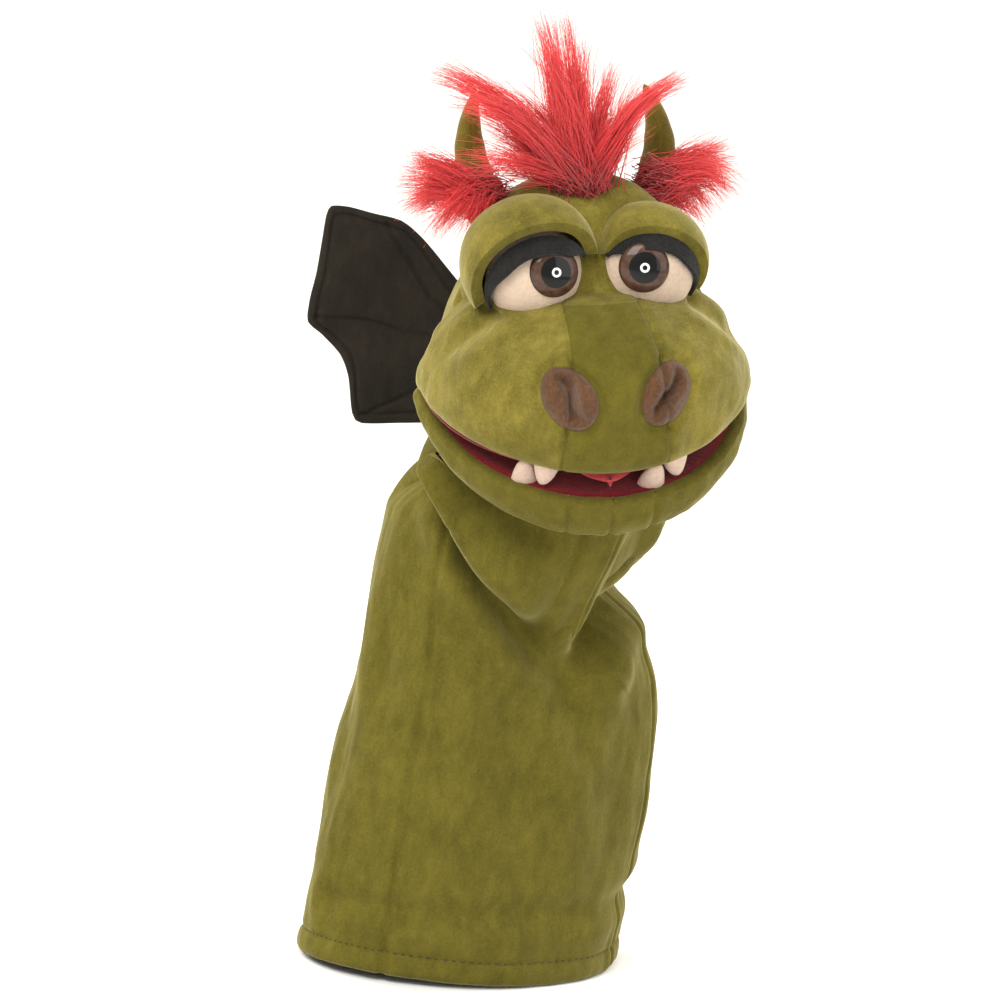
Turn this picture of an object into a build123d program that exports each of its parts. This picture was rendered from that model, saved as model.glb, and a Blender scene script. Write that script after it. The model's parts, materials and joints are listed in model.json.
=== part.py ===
"""Moving mouth hand puppet: a winged dragon sewn from velour, in millimetres.

The sleeve stands on its hem with +Z up and the origin at the centre of the arm opening.
The body faces -Y. The head is modelled in a frame of its own, whose origin is the middle of
the mouth's fold, with the face towards -Y, and it is turned and leaned over the sleeve as it
is worn. The mouth's two halves lie on two planes that meet in that fold.
"""

import os
from math import cos, radians, sin, tan

from build123d import *

# ---- cloth and clearances -------------------------------------------------------------
CLOTH = 2.4  # velour with its backing and nap
FELT = 1.2
BOARD = 1.5  # stiffener in each half of the mouth
POCKET_CLOTH = 1.4
CLEARANCE = 0.4  # between pieces that lie beside each other unsewn

# ---- sleeve and neck ------------------------------------------------------------------
HEM_HALF_WIDTH = 75.0
HEM_HALF_DEPTH = 45.0
SLEEVE_HEIGHT = 140.0
NECK_HEIGHT = 45.0
WAIST_HALF_WIDTH = 64.0  # where the sleeve meets the neck
WAIST_HALF_DEPTH = 40.0
COLLAR_HALF_WIDTH = 58.0  # top of the neck
COLLAR_HALF_DEPTH = 42.0
SEAM_AT_HEM = 59.0  # front seams, from the middle
SEAM_AT_WAIST = 47.0
SEAM_AT_COLLAR = 43.0
HEM_TURN = 12.0
HEM_FOLD = 1.8
THREAD = 0.6

# ---- head -----------------------------------------------------------------------------
HINGE = (-12.5, -42.0, SLEEVE_HEIGHT + NECK_HEIGHT + 64)  # middle of the mouth's fold
HEAD_TURN = -23.0
HEAD_LEAN = -10.5
HEAD_HALF_WIDTH = 67.0
NOSE_REACH = 72.0  # fold to nose
BACK_REACH = 80.0  # fold to the back of the head
CROWN_HEIGHT = 84.0
HOOD_DROP = 30.0  # hood's lower edge under the fold
FOLD_SLACK = 8.0  # skin is open this far behind the fold
UPPER_SLOPE = 25.0  # how far each half of the mouth falls towards the lip
LOWER_SLOPE = 35.0
LIP_ROLL = 1.5  # linings sit this far inside the lips
BRIDGE_AT_LIP = 23.5  # nose bridge seams, from the middle
BRIDGE_AT_BROW = 16.5
BROW_HEIGHT = CROWN_HEIGHT - 48
FACE_DEPTH = 20.0  # muzzle panels end this far ahead of the fold
TEMPLE_BACK = 34.0  # temple panels end this far behind the fold

# ---- mouth and pockets ----------------------------------------------------------------
LINING_HALF_WIDTH = 60.0
LINING_REACH = 66.0
BOARD_INSET = 4.0
FINGER_HALF_WIDTH = 35.0
FINGER_REACH = 54.0
FINGER_HEIGHT = 24.0
THUMB_HALF_WIDTH = 14.0
THUMB_REACH = 46.0
THUMB_HEIGHT = 14.0
JAW_HALF_WIDTH = 62.0
JAW_REACH = 72.0
JAW_BAND = 14.0
JAW_DEPTH = 25.0
JAW_BACK = 4.0  # jaw ends this far ahead of the fold
THROAT_DROP = 24.0
THROAT_STANDOFF = 4.0  # clear of the collar and of the nape's bulge
CHIN_SEAM = 17.0
TONGUE_HALF_WIDTH = 13.0
TONGUE_REACH = 46.0
TONGUE_THICK = 2.0
TONGUE_BACK = 14.0
UPPER_FANG_LENGTH = 6.5
LOWER_FANG_LENGTH = 9.0
FANG_HALF_WIDTH = 5.0
UPPER_FANG_ANGLE = 30.0  # round the lining's outline, from straight ahead
LOWER_FANG_ANGLE = 18.0

# ---- eyes, nostrils, horns ------------------------------------------------------------
EYE_SPACING = 23.0
PUPIL_SPACING = 17.5  # both eyes look a little inwards
EYE_CENTRE = (-22.0, CROWN_HEIGHT - 34)  # back from the fold, up
EYE_RADII = (19.0, 20.0, 22.0)
LID_PAD = 4.5
LID_TILT = 16.0
LASH_WIDTH = 3.6
LASH_PROUD = 1.0
DOME_RADIUS = 10.0
DOME_HEIGHT = 4.5
DOME_TOE_OUT = 4.0
STEM_RADIUS = 2.2
STEM_LENGTH = 8.0
WASHER_RADIUS = 7.0
WASHER_THICK = 1.5
WASHER_FIT = 0.05
NOSTRIL_SPACING = 18.0
NOSTRIL_HEIGHT = 4.0
NOSTRIL_HALF_WIDTH = 9.5
NOSTRIL_HALF_HEIGHT = 13.0
NOSTRIL_PROUD = 3.5
NOSTRIL_SLIT = 2.4
NOSTRIL_TILT = 24.0
HORN_SPACING = 31.0
HORN_BACK = 16.0
HORN_FOOT = CROWN_HEIGHT - 18
HORN_TIP = CROWN_HEIGHT + 32
HORN_RADIUS = 13.0
HORN_TIP_RADIUS = 4.0

# ---- fur ------------------------------------------------------------------------------
FORELOCK_ROOT = (-2.0, -4.0, CROWN_HEIGHT - 8)
FORELOCK_LENGTH = 72.0
FORELOCK_RADIUS = 10.0
TUFT_ROOT = (HEAD_HALF_WIDTH - 31, 20.0, CROWN_HEIGHT - 18)
TUFT_LENGTH = 46.0
TUFT_RADIUS = 9.0
MANE_HALF_WIDTH = 8.0
MANE_PILE = 18.0

# ---- wings ----------------------------------------------------------------------------
WING_ROOT_X = 15.0
WING_THICK = 4.2
WING_SKIN = 1.1
WING_BORDER = 3.5
WING_SWEEPS = {"left": 48.0, "right": 18.0}  # the left wing lies further back
WING_GAP = 2.5
WING_SPAN = 84.0
WING_TOP = 66.0
WING_FOOT = -27.0  # root's lower end, from the fold

HEAD = Location(HINGE) * Rotation(0, 0, HEAD_TURN) * Rotation(0, HEAD_LEAN, 0)
UPPER = Rotation(UPPER_SLOPE, 0, 0)
LOWER = Rotation(LOWER_SLOPE, 0, 0)
FAR = 300.0

SLEEVE_LEVELS = (  # height, half width, half depth, centre's distance behind the axis
    (0, HEM_HALF_WIDTH, HEM_HALF_DEPTH, 0),
    (0.46 * SLEEVE_HEIGHT, HEM_HALF_WIDTH - 1, HEM_HALF_DEPTH - 1, 0),
    (0.75 * SLEEVE_HEIGHT, WAIST_HALF_WIDTH + 6, WAIST_HALF_DEPTH + 3, 0),
    (SLEEVE_HEIGHT, WAIST_HALF_WIDTH, WAIST_HALF_DEPTH, 0),
)
NECK_LEVELS = (
    (SLEEVE_HEIGHT + CLEARANCE, WAIST_HALF_WIDTH, WAIST_HALF_DEPTH, 0),
    (SLEEVE_HEIGHT + 0.55 * NECK_HEIGHT, COLLAR_HALF_WIDTH + 3, COLLAR_HALF_DEPTH - 2, 1),
    (SLEEVE_HEIGHT + NECK_HEIGHT, COLLAR_HALF_WIDTH, COLLAR_HALF_DEPTH, 2),
)


def head_level(height, width_loss, front_loss, back_loss):
    """One level of the head as height, half width, half depth and centre."""
    front = -(NOSE_REACH - front_loss)
    back = BACK_REACH - back_loss
    return height, HEAD_HALF_WIDTH - width_loss, (back - front) / 2, (back + front) / 2


HEAD_LEVELS = (
    head_level(-HOOD_DROP, 7, 14, 3),
    head_level(-0.5 * HOOD_DROP, 3, 6, 1),
    head_level(0, 0, 0, 0),
    head_level(0.17 * CROWN_HEIGHT, 1, 0, 2),
    head_level(0.34 * CROWN_HEIGHT, 9, 20, 4),
    head_level(0.51 * CROWN_HEIGHT, 17, 35, 9),
    head_level(0.70 * CROWN_HEIGHT, 23, 41, 17),
    head_level(0.85 * CROWN_HEIGHT, 31, 46, 26),
    head_level(0.95 * CROWN_HEIGHT, 39, 53, 36),
    head_level(CROWN_HEIGHT, 49, 62, 48),
)


# ---- shared shapes --------------------------------------------------------------------
def oval_stack(levels, inset=0.0):
    """A solid through level ovals, each drawn in by inset."""
    with BuildPart() as stack:
        for height, half_width, half_depth, centre in levels:
            with BuildSketch(Plane.XY.offset(height)):
                with Locations((0, centre)):
                    Ellipse(half_width - inset, half_depth - inset)
        loft()
    return stack.part


def oval_wall(levels, cloth):
    """The cloth wall of an oval stack, open at both ends."""
    with BuildPart() as wall:
        add(oval_stack(levels))
        add(oval_stack(levels, cloth), mode=Mode.SUBTRACT)
    return wall.part


def prism(points, plane, depth):
    """A straight-sided block on an outline, the same depth both ways from the plane."""
    with BuildPart() as block:
        with BuildSketch(plane):
            with BuildLine():
                Polyline(points, close=True)
            make_face()
        extrude(amount=depth, both=True)
    return block.part


def ellipsoid(radii, centre):
    with BuildPart() as ball:
        Sphere(1)
        scale(by=radii)
    return ball.part.moved(Location(centre))


def common(solid, *others):
    """What solid shares with all the others."""
    with BuildPart() as shared:
        add(solid)
        for other in others:
            add(other, mode=Mode.INTERSECT)
    return shared.part


def without(solid, *others):
    """What is left of solid outside all the others."""
    with BuildPart() as rest:
        add(solid)
        for other in others:
            add(other, mode=Mode.SUBTRACT)
    return rest.part


def joined(*solids):
    with BuildPart() as whole:
        for solid in solids:
            add(solid)
    return whole.part


def half(solid, side, at=0.0):
    """The part of solid beyond x = at on the puppet's left (side 1) or right (side -1)."""
    with BuildPart() as kept:
        add(solid)
        split(bisect_by=Plane.YZ.offset(side * at), keep=Keep.TOP if side > 0 else Keep.BOTTOM)
    return kept.part


def save(solid, label, location=Location((0, 0, 0))):
    """Writes one finished piece as parts/label.step, placed in the puppet's frame."""
    piece = solid.moved(location)
    piece.label = label
    export_step(piece, f"parts/{label}.step")
    return solid


SIDES = (("left", 1), ("right", -1))


# ---- sleeve and neck ------------------------------------------------------------------
def front_wedge(low, half_width_low, high, half_width_high):
    """Everything ahead of the axis and between the two front seams."""
    outline = [
        (-half_width_low, low),
        (half_width_low, low),
        (half_width_high, high),
        (-half_width_high, high),
    ]
    with BuildPart() as wedge:
        with BuildSketch(Plane.XZ):
            with BuildLine():
                Polyline(outline, close=True)
            make_face()
        extrude(amount=FAR)
    return wedge.part


def hem_turn():
    """The cloth turned up inside the hem."""
    levels = ((0, HEM_HALF_WIDTH, HEM_HALF_DEPTH, 0), (HEM_TURN, HEM_HALF_WIDTH, HEM_HALF_DEPTH, 0))
    with BuildPart() as turn:
        add(oval_stack(levels, CLOTH - 0.5))
        add(oval_stack(levels, CLOTH + HEM_FOLD), mode=Mode.SUBTRACT)
    return turn.part


def make_sleeve():
    wall = joined(oval_wall(SLEEVE_LEVELS, CLOTH), hem_turn())
    wedge = front_wedge(0, SEAM_AT_HEM, SLEEVE_HEIGHT, SEAM_AT_WAIST)
    save(common(wall, wedge), "sleeve_front_panel")
    back = without(wall, wedge)
    for name, side in SIDES:
        save(half(back, side), f"sleeve_side_panel_{name}")


def make_hem_stitching():
    """One row of topstitching round the hem, half sunk in the nap."""
    level = HEM_TURN - 1.5
    with BuildPart() as row:
        with BuildSketch(Plane.XY.offset(level)):
            Ellipse(HEM_HALF_WIDTH + THREAD, HEM_HALF_DEPTH + THREAD)
            Ellipse(HEM_HALF_WIDTH, HEM_HALF_DEPTH, mode=Mode.SUBTRACT)
        extrude(amount=THREAD)
    save(without(row.part, oval_stack(SLEEVE_LEVELS)), "hem_stitching")


def make_neck():
    wall = oval_wall(NECK_LEVELS, CLOTH)
    collar = SLEEVE_HEIGHT + NECK_HEIGHT
    wedge = front_wedge(SLEEVE_HEIGHT, SEAM_AT_WAIST, collar, SEAM_AT_COLLAR)
    save(common(wall, wedge), "neck_front_panel")
    back = without(wall, wedge)
    for name, side in SIDES:
        save(half(back, side), f"neck_side_panel_{name}")


def nape_tube(inset):
    """From the collar's oval to the smaller oval under the hood."""
    _, half_width, half_depth, centre = NECK_LEVELS[-1]
    hood_centre = (FOLD_SLACK + BACK_REACH - 6) / 2
    hood_plane = Plane(HEAD * Location((0, hood_centre, -HOOD_DROP)))
    with BuildPart() as tube:
        with BuildSketch(Plane.XY.offset(SLEEVE_HEIGHT + NECK_HEIGHT)):
            with Locations((0, centre)):
                Ellipse(half_width - inset, half_depth - inset)
        with BuildSketch(hood_plane):
            Ellipse(HEAD_HALF_WIDTH - 15 - inset, BACK_REACH - 6 - hood_centre - inset)
        loft()
    return tube.part


def make_nape():
    save(without(nape_tube(0), nape_tube(CLOTH)), "nape_skin")


# ---- head skin and filling ------------------------------------------------------------
def mouth_gap():
    """The space the head leaves for the lower half of the mouth, and for the fold."""
    drop = FAR * tan(radians(UPPER_SLOPE))
    outline = [(FOLD_SLACK, -FAR), (FOLD_SLACK, 0), (0, 0), (-FAR, -drop), (-FAR, -FAR)]
    return prism(outline, Plane.YZ, FAR)


def slab(low, high):
    """Everything between two heights over the upper half of the mouth."""
    with BuildPart() as block:
        with Locations((0, 0, (low + high) / 2)):
            Box(FAR, FAR, high - low)
    return block.part.moved(UPPER)


def mouth_top():
    """Everything above the upper board and ahead of the back of the head."""
    return slab(LIP_ROLL + FELT + BOARD, 2 * FAR)


def finger_block(inset):
    """The finger pocket's outside, drawn in by inset and open towards the wrist."""
    floor = LIP_ROLL + FELT + BOARD
    with BuildPart() as block:
        with Locations((0, -FINGER_REACH + inset, floor + inset)):
            Box(
                2 * (FINGER_HALF_WIDTH + POCKET_CLOTH - inset),
                FINGER_REACH + FINGER_HEIGHT,
                FINGER_HEIGHT + 2 * (POCKET_CLOTH - inset),
                align=(Align.CENTER, Align.MIN, Align.MIN),
            )
    return block.part.moved(UPPER)


def behind(distance):
    """Everything further back than that distance behind the fold."""
    return prism([(distance, -FAR), (distance, FAR), (FAR, FAR), (FAR, -FAR)], Plane.YZ, FAR)


def above(height):
    return prism([(-FAR, height), (-FAR, FAR), (FAR, FAR), (FAR, height)], Plane.YZ, FAR)


def bridge_strip():
    """Between the nose bridge's two seams, seen from the front."""
    lip = -NOSE_REACH * tan(radians(UPPER_SLOPE))
    outline = [
        (-BRIDGE_AT_LIP, lip),
        (BRIDGE_AT_LIP, lip),
        (BRIDGE_AT_BROW, BROW_HEIGHT),
        (BRIDGE_AT_BROW, FAR),
        (-BRIDGE_AT_BROW, FAR),
        (-BRIDGE_AT_BROW, BROW_HEIGHT),
    ]
    with BuildPart() as strip:
        with BuildSketch(Plane.XZ):
            with BuildLine():
                Polyline(outline, close=True)
            make_face()
        extrude(amount=FAR, both=True)
    return strip.part


def head_regions():
    """The blocks of space that the head's seams divide it into, by panel name."""
    with BuildPart() as space:
        Box(2 * FAR, 2 * FAR, 2 * FAR)
    strip = bridge_strip()
    high = above(BROW_HEIGHT)
    back = behind(TEMPLE_BACK)
    cheek = behind(-FACE_DEPTH)
    gap = mouth_gap()
    crown = common(without(space.part, back), high)
    below = without(space.part, back, high, gap)
    regions = {
        "nose_bridge_panel": common(without(below, cheek), strip),
        "forehead_panel": common(crown, strip),
    }
    for name, side in SIDES:
        regions[f"muzzle_panel_{name}"] = half(without(below, cheek, strip), side)
        regions[f"cheek_panel_{name}"] = half(common(below, cheek), side)
        regions[f"temple_panel_{name}"] = half(without(crown, strip), side)
        regions[f"hood_panel_{name}"] = half(without(back, gap), side)
    return regions


def make_head():
    """Sews the head from ten panels, fills it round the finger pocket, and gives its surfaces."""
    outside = oval_stack(HEAD_LEVELS)
    inner_levels = HEAD_LEVELS[:-1] + ((CROWN_HEIGHT - CLOTH, *HEAD_LEVELS[-1][1:]),)
    inside = oval_stack(inner_levels, CLOTH)
    for label, region in head_regions().items():
        save(without(common(outside, region), inside), label, HEAD)
    high = above(BROW_HEIGHT)
    block = finger_block(0)
    lower_space = without(mouth_top(), block, behind(0), high)
    save(common(inside, lower_space), "muzzle_stuffing", HEAD)
    save(common(inside, high), "crown_stuffing", HEAD)
    pocket = without(block, finger_block(POCKET_CLOTH), behind(0))
    save(common(pocket, inside), "finger_pocket", HEAD)
    return outside, inside


# ---- mouth ----------------------------------------------------------------------------
def mouth_plate(inset, low, thick, back):
    """A flat half oval across the mouth, in the frame of its half of the mouth."""
    with BuildPart() as plate:
        with BuildSketch(Plane.XY.offset(low)):
            Ellipse(LINING_HALF_WIDTH - inset, LINING_REACH - inset)
            with Locations((0, -back)):
                Rectangle(FAR, FAR, align=(Align.CENTER, Align.MIN), mode=Mode.SUBTRACT)
        extrude(amount=thick)
    return plate.part


def make_upper_mouth(inside):
    for label, low, thick, inset in (
        ("upper_lining", LIP_ROLL, FELT, 0),
        ("upper_mouth_board", LIP_ROLL + FELT, BOARD, BOARD_INSET),
    ):
        plate = mouth_plate(inset, low, thick, 0.5).moved(UPPER)
        save(common(plate, inside), label, HEAD)


def jaw_bowl(inset):
    """The lower jaw's outer shape in the frame of the lower half of the mouth."""
    levels = (
        (0, JAW_HALF_WIDTH, JAW_REACH, 0),
        (-JAW_BAND, JAW_HALF_WIDTH - 4, JAW_REACH - 4, 0),
        (-JAW_DEPTH + inset, JAW_HALF_WIDTH - 20, JAW_REACH - 20, 0),
    )
    return oval_stack(levels, inset)


def jaw_front():
    """Ahead of the jaw's open back, in the frame of the lower half of the mouth."""
    return prism([(-JAW_BACK, -FAR), (-FAR, -FAR), (-FAR, FAR), (-JAW_BACK, FAR)], Plane.YZ, FAR)


def thumb_block(inset):
    roof = -(LIP_ROLL + FELT + BOARD)
    with BuildPart() as block:
        with Locations((0, -THUMB_REACH + inset, roof - inset)):
            Box(
                2 * (THUMB_HALF_WIDTH + POCKET_CLOTH - inset),
                THUMB_REACH + THUMB_HEIGHT,
                THUMB_HEIGHT + 2 * (POCKET_CLOTH - inset),
                align=(Align.CENTER, Align.MIN, Align.MAX),
            )
    return block.part


def band(half_width):
    with BuildPart() as block:
        Box(2 * half_width, FAR, FAR)
    return block.part


def make_jaw():
    place = HEAD * LOWER
    inside = jaw_bowl(CLOTH)
    front = jaw_front()
    skin = common(without(jaw_bowl(0), inside), front)
    middle = band(CHIN_SEAM)
    for name, side in SIDES:
        save(half(common(skin, middle), side), f"chin_panel_{name}", place)
        save(half(skin, side, CHIN_SEAM), f"jaw_panel_{name}", place)
    under_board = -(LIP_ROLL + FELT + BOARD)
    with BuildPart() as filled:
        with Locations((0, 0, under_board)):
            Box(FAR, FAR, FAR, align=(Align.CENTER, Align.CENTER, Align.MAX))
    block = thumb_block(0)
    stuffing = without(common(inside, filled.part, front), block)
    save(stuffing, "jaw_stuffing", place)
    pocket = without(common(block, front, inside), thumb_block(POCKET_CLOTH))
    save(pocket, "thumb_pocket", place)
    for label, top, thick, inset in (
        ("lower_lining", -LIP_ROLL, FELT, 0),
        ("lower_mouth_board", -LIP_ROLL - FELT, BOARD, BOARD_INSET),
    ):
        plate = mouth_plate(inset, top - thick, thick, JAW_BACK)
        save(common(plate, inside), label, place)


def make_tongue():
    tip = -TONGUE_BACK - TONGUE_REACH
    with BuildPart() as tongue:
        with BuildSketch(Plane.XY.offset(-LIP_ROLL)):
            with BuildLine():
                Spline(
                    (-0.8 * TONGUE_HALF_WIDTH, -TONGUE_BACK),
                    (-TONGUE_HALF_WIDTH, -TONGUE_BACK - 0.5 * TONGUE_REACH),
                    (0, tip),
                )
                Spline(
                    (0, tip),
                    (TONGUE_HALF_WIDTH, -TONGUE_BACK - 0.5 * TONGUE_REACH),
                    (0.8 * TONGUE_HALF_WIDTH, -TONGUE_BACK),
                )
                Line((0.8 * TONGUE_HALF_WIDTH, -TONGUE_BACK), (-0.8 * TONGUE_HALF_WIDTH, -TONGUE_BACK))
            make_face()
        extrude(amount=TONGUE_THICK)
    save(tongue.part, "tongue", HEAD * LOWER)


def fang(length):
    """A stuffed felt tooth, standing on its sewn edge."""
    with BuildPart() as tooth:
        with BuildSketch():
            Ellipse(FANG_HALF_WIDTH, 0.6 * FANG_HALF_WIDTH)
        with BuildSketch(Plane.XY.offset(0.6 * length)):
            Ellipse(0.8 * FANG_HALF_WIDTH, 0.5 * FANG_HALF_WIDTH)
        with BuildSketch(Plane.XY.offset(length)):
            Ellipse(0.3 * FANG_HALF_WIDTH, 0.2 * FANG_HALF_WIDTH)
        loft()
    return tooth.part


def make_fangs():
    """Two fangs under the upper lip and two on the lower lip, on the linings' outline."""
    inset = FANG_HALF_WIDTH + 2.0
    for name, side in SIDES:
        for row, length, angle, flip, place in (
            ("upper", UPPER_FANG_LENGTH, UPPER_FANG_ANGLE, 180, HEAD * UPPER),
            ("lower", LOWER_FANG_LENGTH, LOWER_FANG_ANGLE, 0, HEAD * LOWER),
        ):
            x = side * (LINING_HALF_WIDTH - inset) * sin(radians(angle))
            y = -(LINING_REACH - inset) * cos(radians(angle))
            z = LIP_ROLL if flip else -LIP_ROLL
            foot = Location((x, y, z)) * Rotation(0, flip, 0) * Rotation(0, 0, side * angle)
            save(fang(length), f"{row}_fang_{name}", place * foot)


def make_throat():
    """The slack cloth that hangs from under the chin to the front of the neck."""
    _, _, half_depth, centre = NECK_LEVELS[-1]
    radii = (0.55 * JAW_HALF_WIDTH, 0.3 * JAW_REACH, THROAT_DROP)
    inner_radii = tuple(radius - CLOTH for radius in radii)
    chin = HEAD * LOWER * Location((0, -0.4 * JAW_REACH, -JAW_DEPTH - CLEARANCE))
    with BuildPart() as pouch:
        add(ellipsoid(radii, (0, 0, 0)))
        add(ellipsoid(inner_radii, (0, 0, 0)), mode=Mode.SUBTRACT)
        split(bisect_by=Plane.XY, keep=Keep.BOTTOM)
    with BuildPart() as hung:
        add(pouch.part.moved(chin))
        split(bisect_by=Plane.XZ.offset(half_depth - centre + THROAT_STANDOFF), keep=Keep.TOP)
    save(hung.part, "throat_skin")


# ---- eyes -----------------------------------------------------------------------------
def eye_look(side):
    """The dome's seat: on the eye's front, facing the way it looks."""
    x = side * PUPIL_SPACING
    front = EYE_CENTRE[0] - EYE_RADII[1]
    turn = Rotation(0, 0, side * DOME_TOE_OUT)
    return Location((x, front + 1.0, EYE_CENTRE[1])) * turn * Rotation(90, 0, 0)


def eye_dome():
    """A clear-fronted plastic eye with its ribbed stem as a plain pin."""
    ball_radius = (DOME_RADIUS**2 + DOME_HEIGHT**2) / (2 * DOME_HEIGHT)
    with BuildPart() as dome:
        with Locations((0, 0, DOME_HEIGHT - ball_radius)):
            Sphere(ball_radius)
        split(bisect_by=Plane.XY, keep=Keep.TOP)
        Cylinder(STEM_RADIUS, STEM_LENGTH, align=(Align.CENTER, Align.CENTER, Align.MAX))
    return dome.part


def eye_washer():
    """The push-on washer that locks the stem behind the eye's felt."""
    with BuildPart() as washer:
        with BuildSketch(Plane.XY.offset(-0.7 * STEM_LENGTH)):
            Circle(WASHER_RADIUS)
            Circle(STEM_RADIUS + WASHER_FIT, mode=Mode.SUBTRACT)
        extrude(amount=WASHER_THICK)
    return washer.part


def lid_region(centre, low, high):
    """Between two tilted planes across an eye, over its middle."""
    with BuildPart() as block:
        Box(FAR, FAR, high - low, align=(Align.CENTER, Align.CENTER, Align.MIN))
    return block.part.moved(Location(centre) * Rotation(-LID_TILT, 0, 0) * Location((0, 0, low)))


def make_eyes(head):
    """Makes both eyes, and gives back their lids for the fur to be cut clear of."""
    lids = []
    for name, side in SIDES:
        centre = (side * EYE_SPACING, *EYE_CENTRE)
        seat = eye_look(side)
        ball = ellipsoid(EYE_RADII, centre)
        lid_radii = tuple(r + LID_PAD for r in EYE_RADII)
        lash_radii = tuple(r + LID_PAD + LASH_PROUD for r in EYE_RADII)
        own_half = half(joined(ellipsoid(lash_radii, centre)), side, 0.5)
        lid = common(ellipsoid(lid_radii, centre), lid_region(centre, 6 + LASH_WIDTH, FAR), own_half)
        lash = common(ellipsoid(lash_radii, centre), lid_region(centre, 6, 6 + LASH_WIDTH), own_half)
        dome = eye_dome().moved(seat)
        washer = eye_washer().moved(seat)
        save(without(ball, head, dome, washer), f"eye_white_{name}", HEAD)
        save(without(dome, head), f"eye_dome_{name}", HEAD)
        save(without(washer, head), f"eye_washer_{name}", HEAD)
        lids.append(save(without(lid, head, ball, dome), f"eyelid_{name}", HEAD))
        save(without(lash, head, ball, dome), f"lash_strip_{name}", HEAD)
    return lids


# ---- nostrils, horns, fur -------------------------------------------------------------
def make_nostrils(head):
    """Oval felt pads that follow the nose, each with an upright slit."""
    proud = oval_stack(HEAD_LEVELS, -NOSTRIL_PROUD)
    for name, side in SIDES:
        spot = Plane.XZ.offset(NOSE_REACH - 22)
        with BuildPart() as pad:
            with BuildSketch(spot):
                with Locations((side * NOSTRIL_SPACING, NOSTRIL_HEIGHT)):
                    with Locations(Rotation(0, 0, side * NOSTRIL_TILT)):
                        Ellipse(NOSTRIL_HALF_WIDTH, NOSTRIL_HALF_HEIGHT)
                        Rectangle(NOSTRIL_SLIT, 1.2 * NOSTRIL_HALF_HEIGHT, mode=Mode.SUBTRACT)
            extrude(amount=40)
        save(without(common(proud, pad.part), head), f"nostril_{name}", HEAD)


def make_horns(head):
    """Stuffed horns that rise beside the forelock and hook in a little at the tip."""
    horns = []
    for name, side in SIDES:
        rise = HORN_TIP - HORN_FOOT
        with BuildPart() as horn:
            for share, out, radius in (
                (0, 0, HORN_RADIUS),
                (0.45, 8, 0.85 * HORN_RADIUS),
                (0.8, 8, 0.55 * HORN_RADIUS),
                (1, 5, HORN_TIP_RADIUS),
            ):
                with BuildSketch(Plane.XY.offset(HORN_FOOT + share * rise)):
                    with Locations((side * (HORN_SPACING + out), HORN_BACK + 8 * share)):
                        Ellipse(0.8 * radius, radius)
            loft()
        horns.append(save(without(horn.part, head), f"horn_{name}", HEAD))
    return horns


def lock(length, radius, root, tilt, turn):
    """One spike of fur from its root, tilted over and turned about the upright."""
    with BuildPart() as spike:
        Cone(0.8 * radius, 0.2 * radius, length, align=(Align.CENTER, Align.CENTER, Align.MIN))
    return spike.part.moved(Location(root) * Rotation(0, 0, turn) * Rotation(0, tilt, 0))


def fur_clump(root, length, radius, spread):
    """Several locks out of one root, fused as one clump."""
    with BuildPart() as clump:
        Sphere(radius)
    return joined(
        clump.part.moved(Location(root)),
        *(lock(share * length, radius, root, tilt, turn) for share, tilt, turn in spread),
    )


def make_fur(outside, neighbours):
    """The forelock, the two temple tufts and the mane, cut clear of their neighbours."""
    fan = ((1.0, 4, 200), (0.8, -45, 8), (0.62, -24, 20), (0.62, 22, -20), (0.72, 44, -8))
    forelock = fur_clump(FORELOCK_ROOT, FORELOCK_LENGTH, FORELOCK_RADIUS, fan)
    forelock = save(without(forelock, outside, *neighbours), "forelock", HEAD)
    for name, side in SIDES:
        root = (side * TUFT_ROOT[0], TUFT_ROOT[1], TUFT_ROOT[2])
        spread = ((1, side * 95, 0), (0.9, side * 70, 6), (0.8, side * 118, -6))
        tuft = fur_clump(root, TUFT_LENGTH, TUFT_RADIUS, spread)
        save(without(tuft, outside, forelock, *neighbours), f"temple_tuft_{name}", HEAD)
    pile = common(oval_stack(HEAD_LEVELS, -MANE_PILE), band(MANE_HALF_WIDTH), behind(TEMPLE_BACK))
    save(without(pile, outside), "mane", HEAD)


# ---- wings ----------------------------------------------------------------------------
def wing_slab(thickness, inset=0.0):
    """The wing's outline from root to tip, as a flat slab about the XZ plane."""
    span, top, foot = WING_SPAN, WING_TOP, WING_FOOT
    neck = (0.46 * span + 0.3 * inset, top - 8 - 1.2 * inset)
    tip = (0.87 * span - inset, top - inset)
    low_tip = (span - 2 * inset, top - 48 + 0.5 * inset)
    heel = (0.78 * span - inset, foot + 1 + inset)
    with BuildPart() as wing:
        with BuildSketch(Plane.XZ.offset(-thickness / 2)):
            with BuildLine():
                Polyline(heel, (inset, foot + inset), (inset, foot + 37), neck)
                Spline(neck, (0.65 * span, top - 3 - inset), tip)
                Spline(tip, (0.93 * span - inset, top - 27), low_tip)
                Spline(low_tip, (0.84 * span - inset, top - 62), heel)
            make_face()
        extrude(amount=thickness)
    return wing.part


def make_wings():
    """Each wing is two faces of cloth sewn round a layer of batting."""
    root_y = BACK_REACH + WING_GAP
    batting = wing_slab(WING_THICK - 2 * WING_SKIN, WING_BORDER)
    cover = without(wing_slab(WING_THICK), batting)
    for name, side in SIDES:
        seat = HEAD * Location((side * WING_ROOT_X, root_y, 0)) * Rotation(0, 0, side * WING_SWEEPS[name])
        for label, solid in (("wing", cover), ("wing_batting", batting)):
            piece = solid if side > 0 else mirror(solid, about=Plane.YZ)
            save(piece, f"{label}_{name}", seat)


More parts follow.
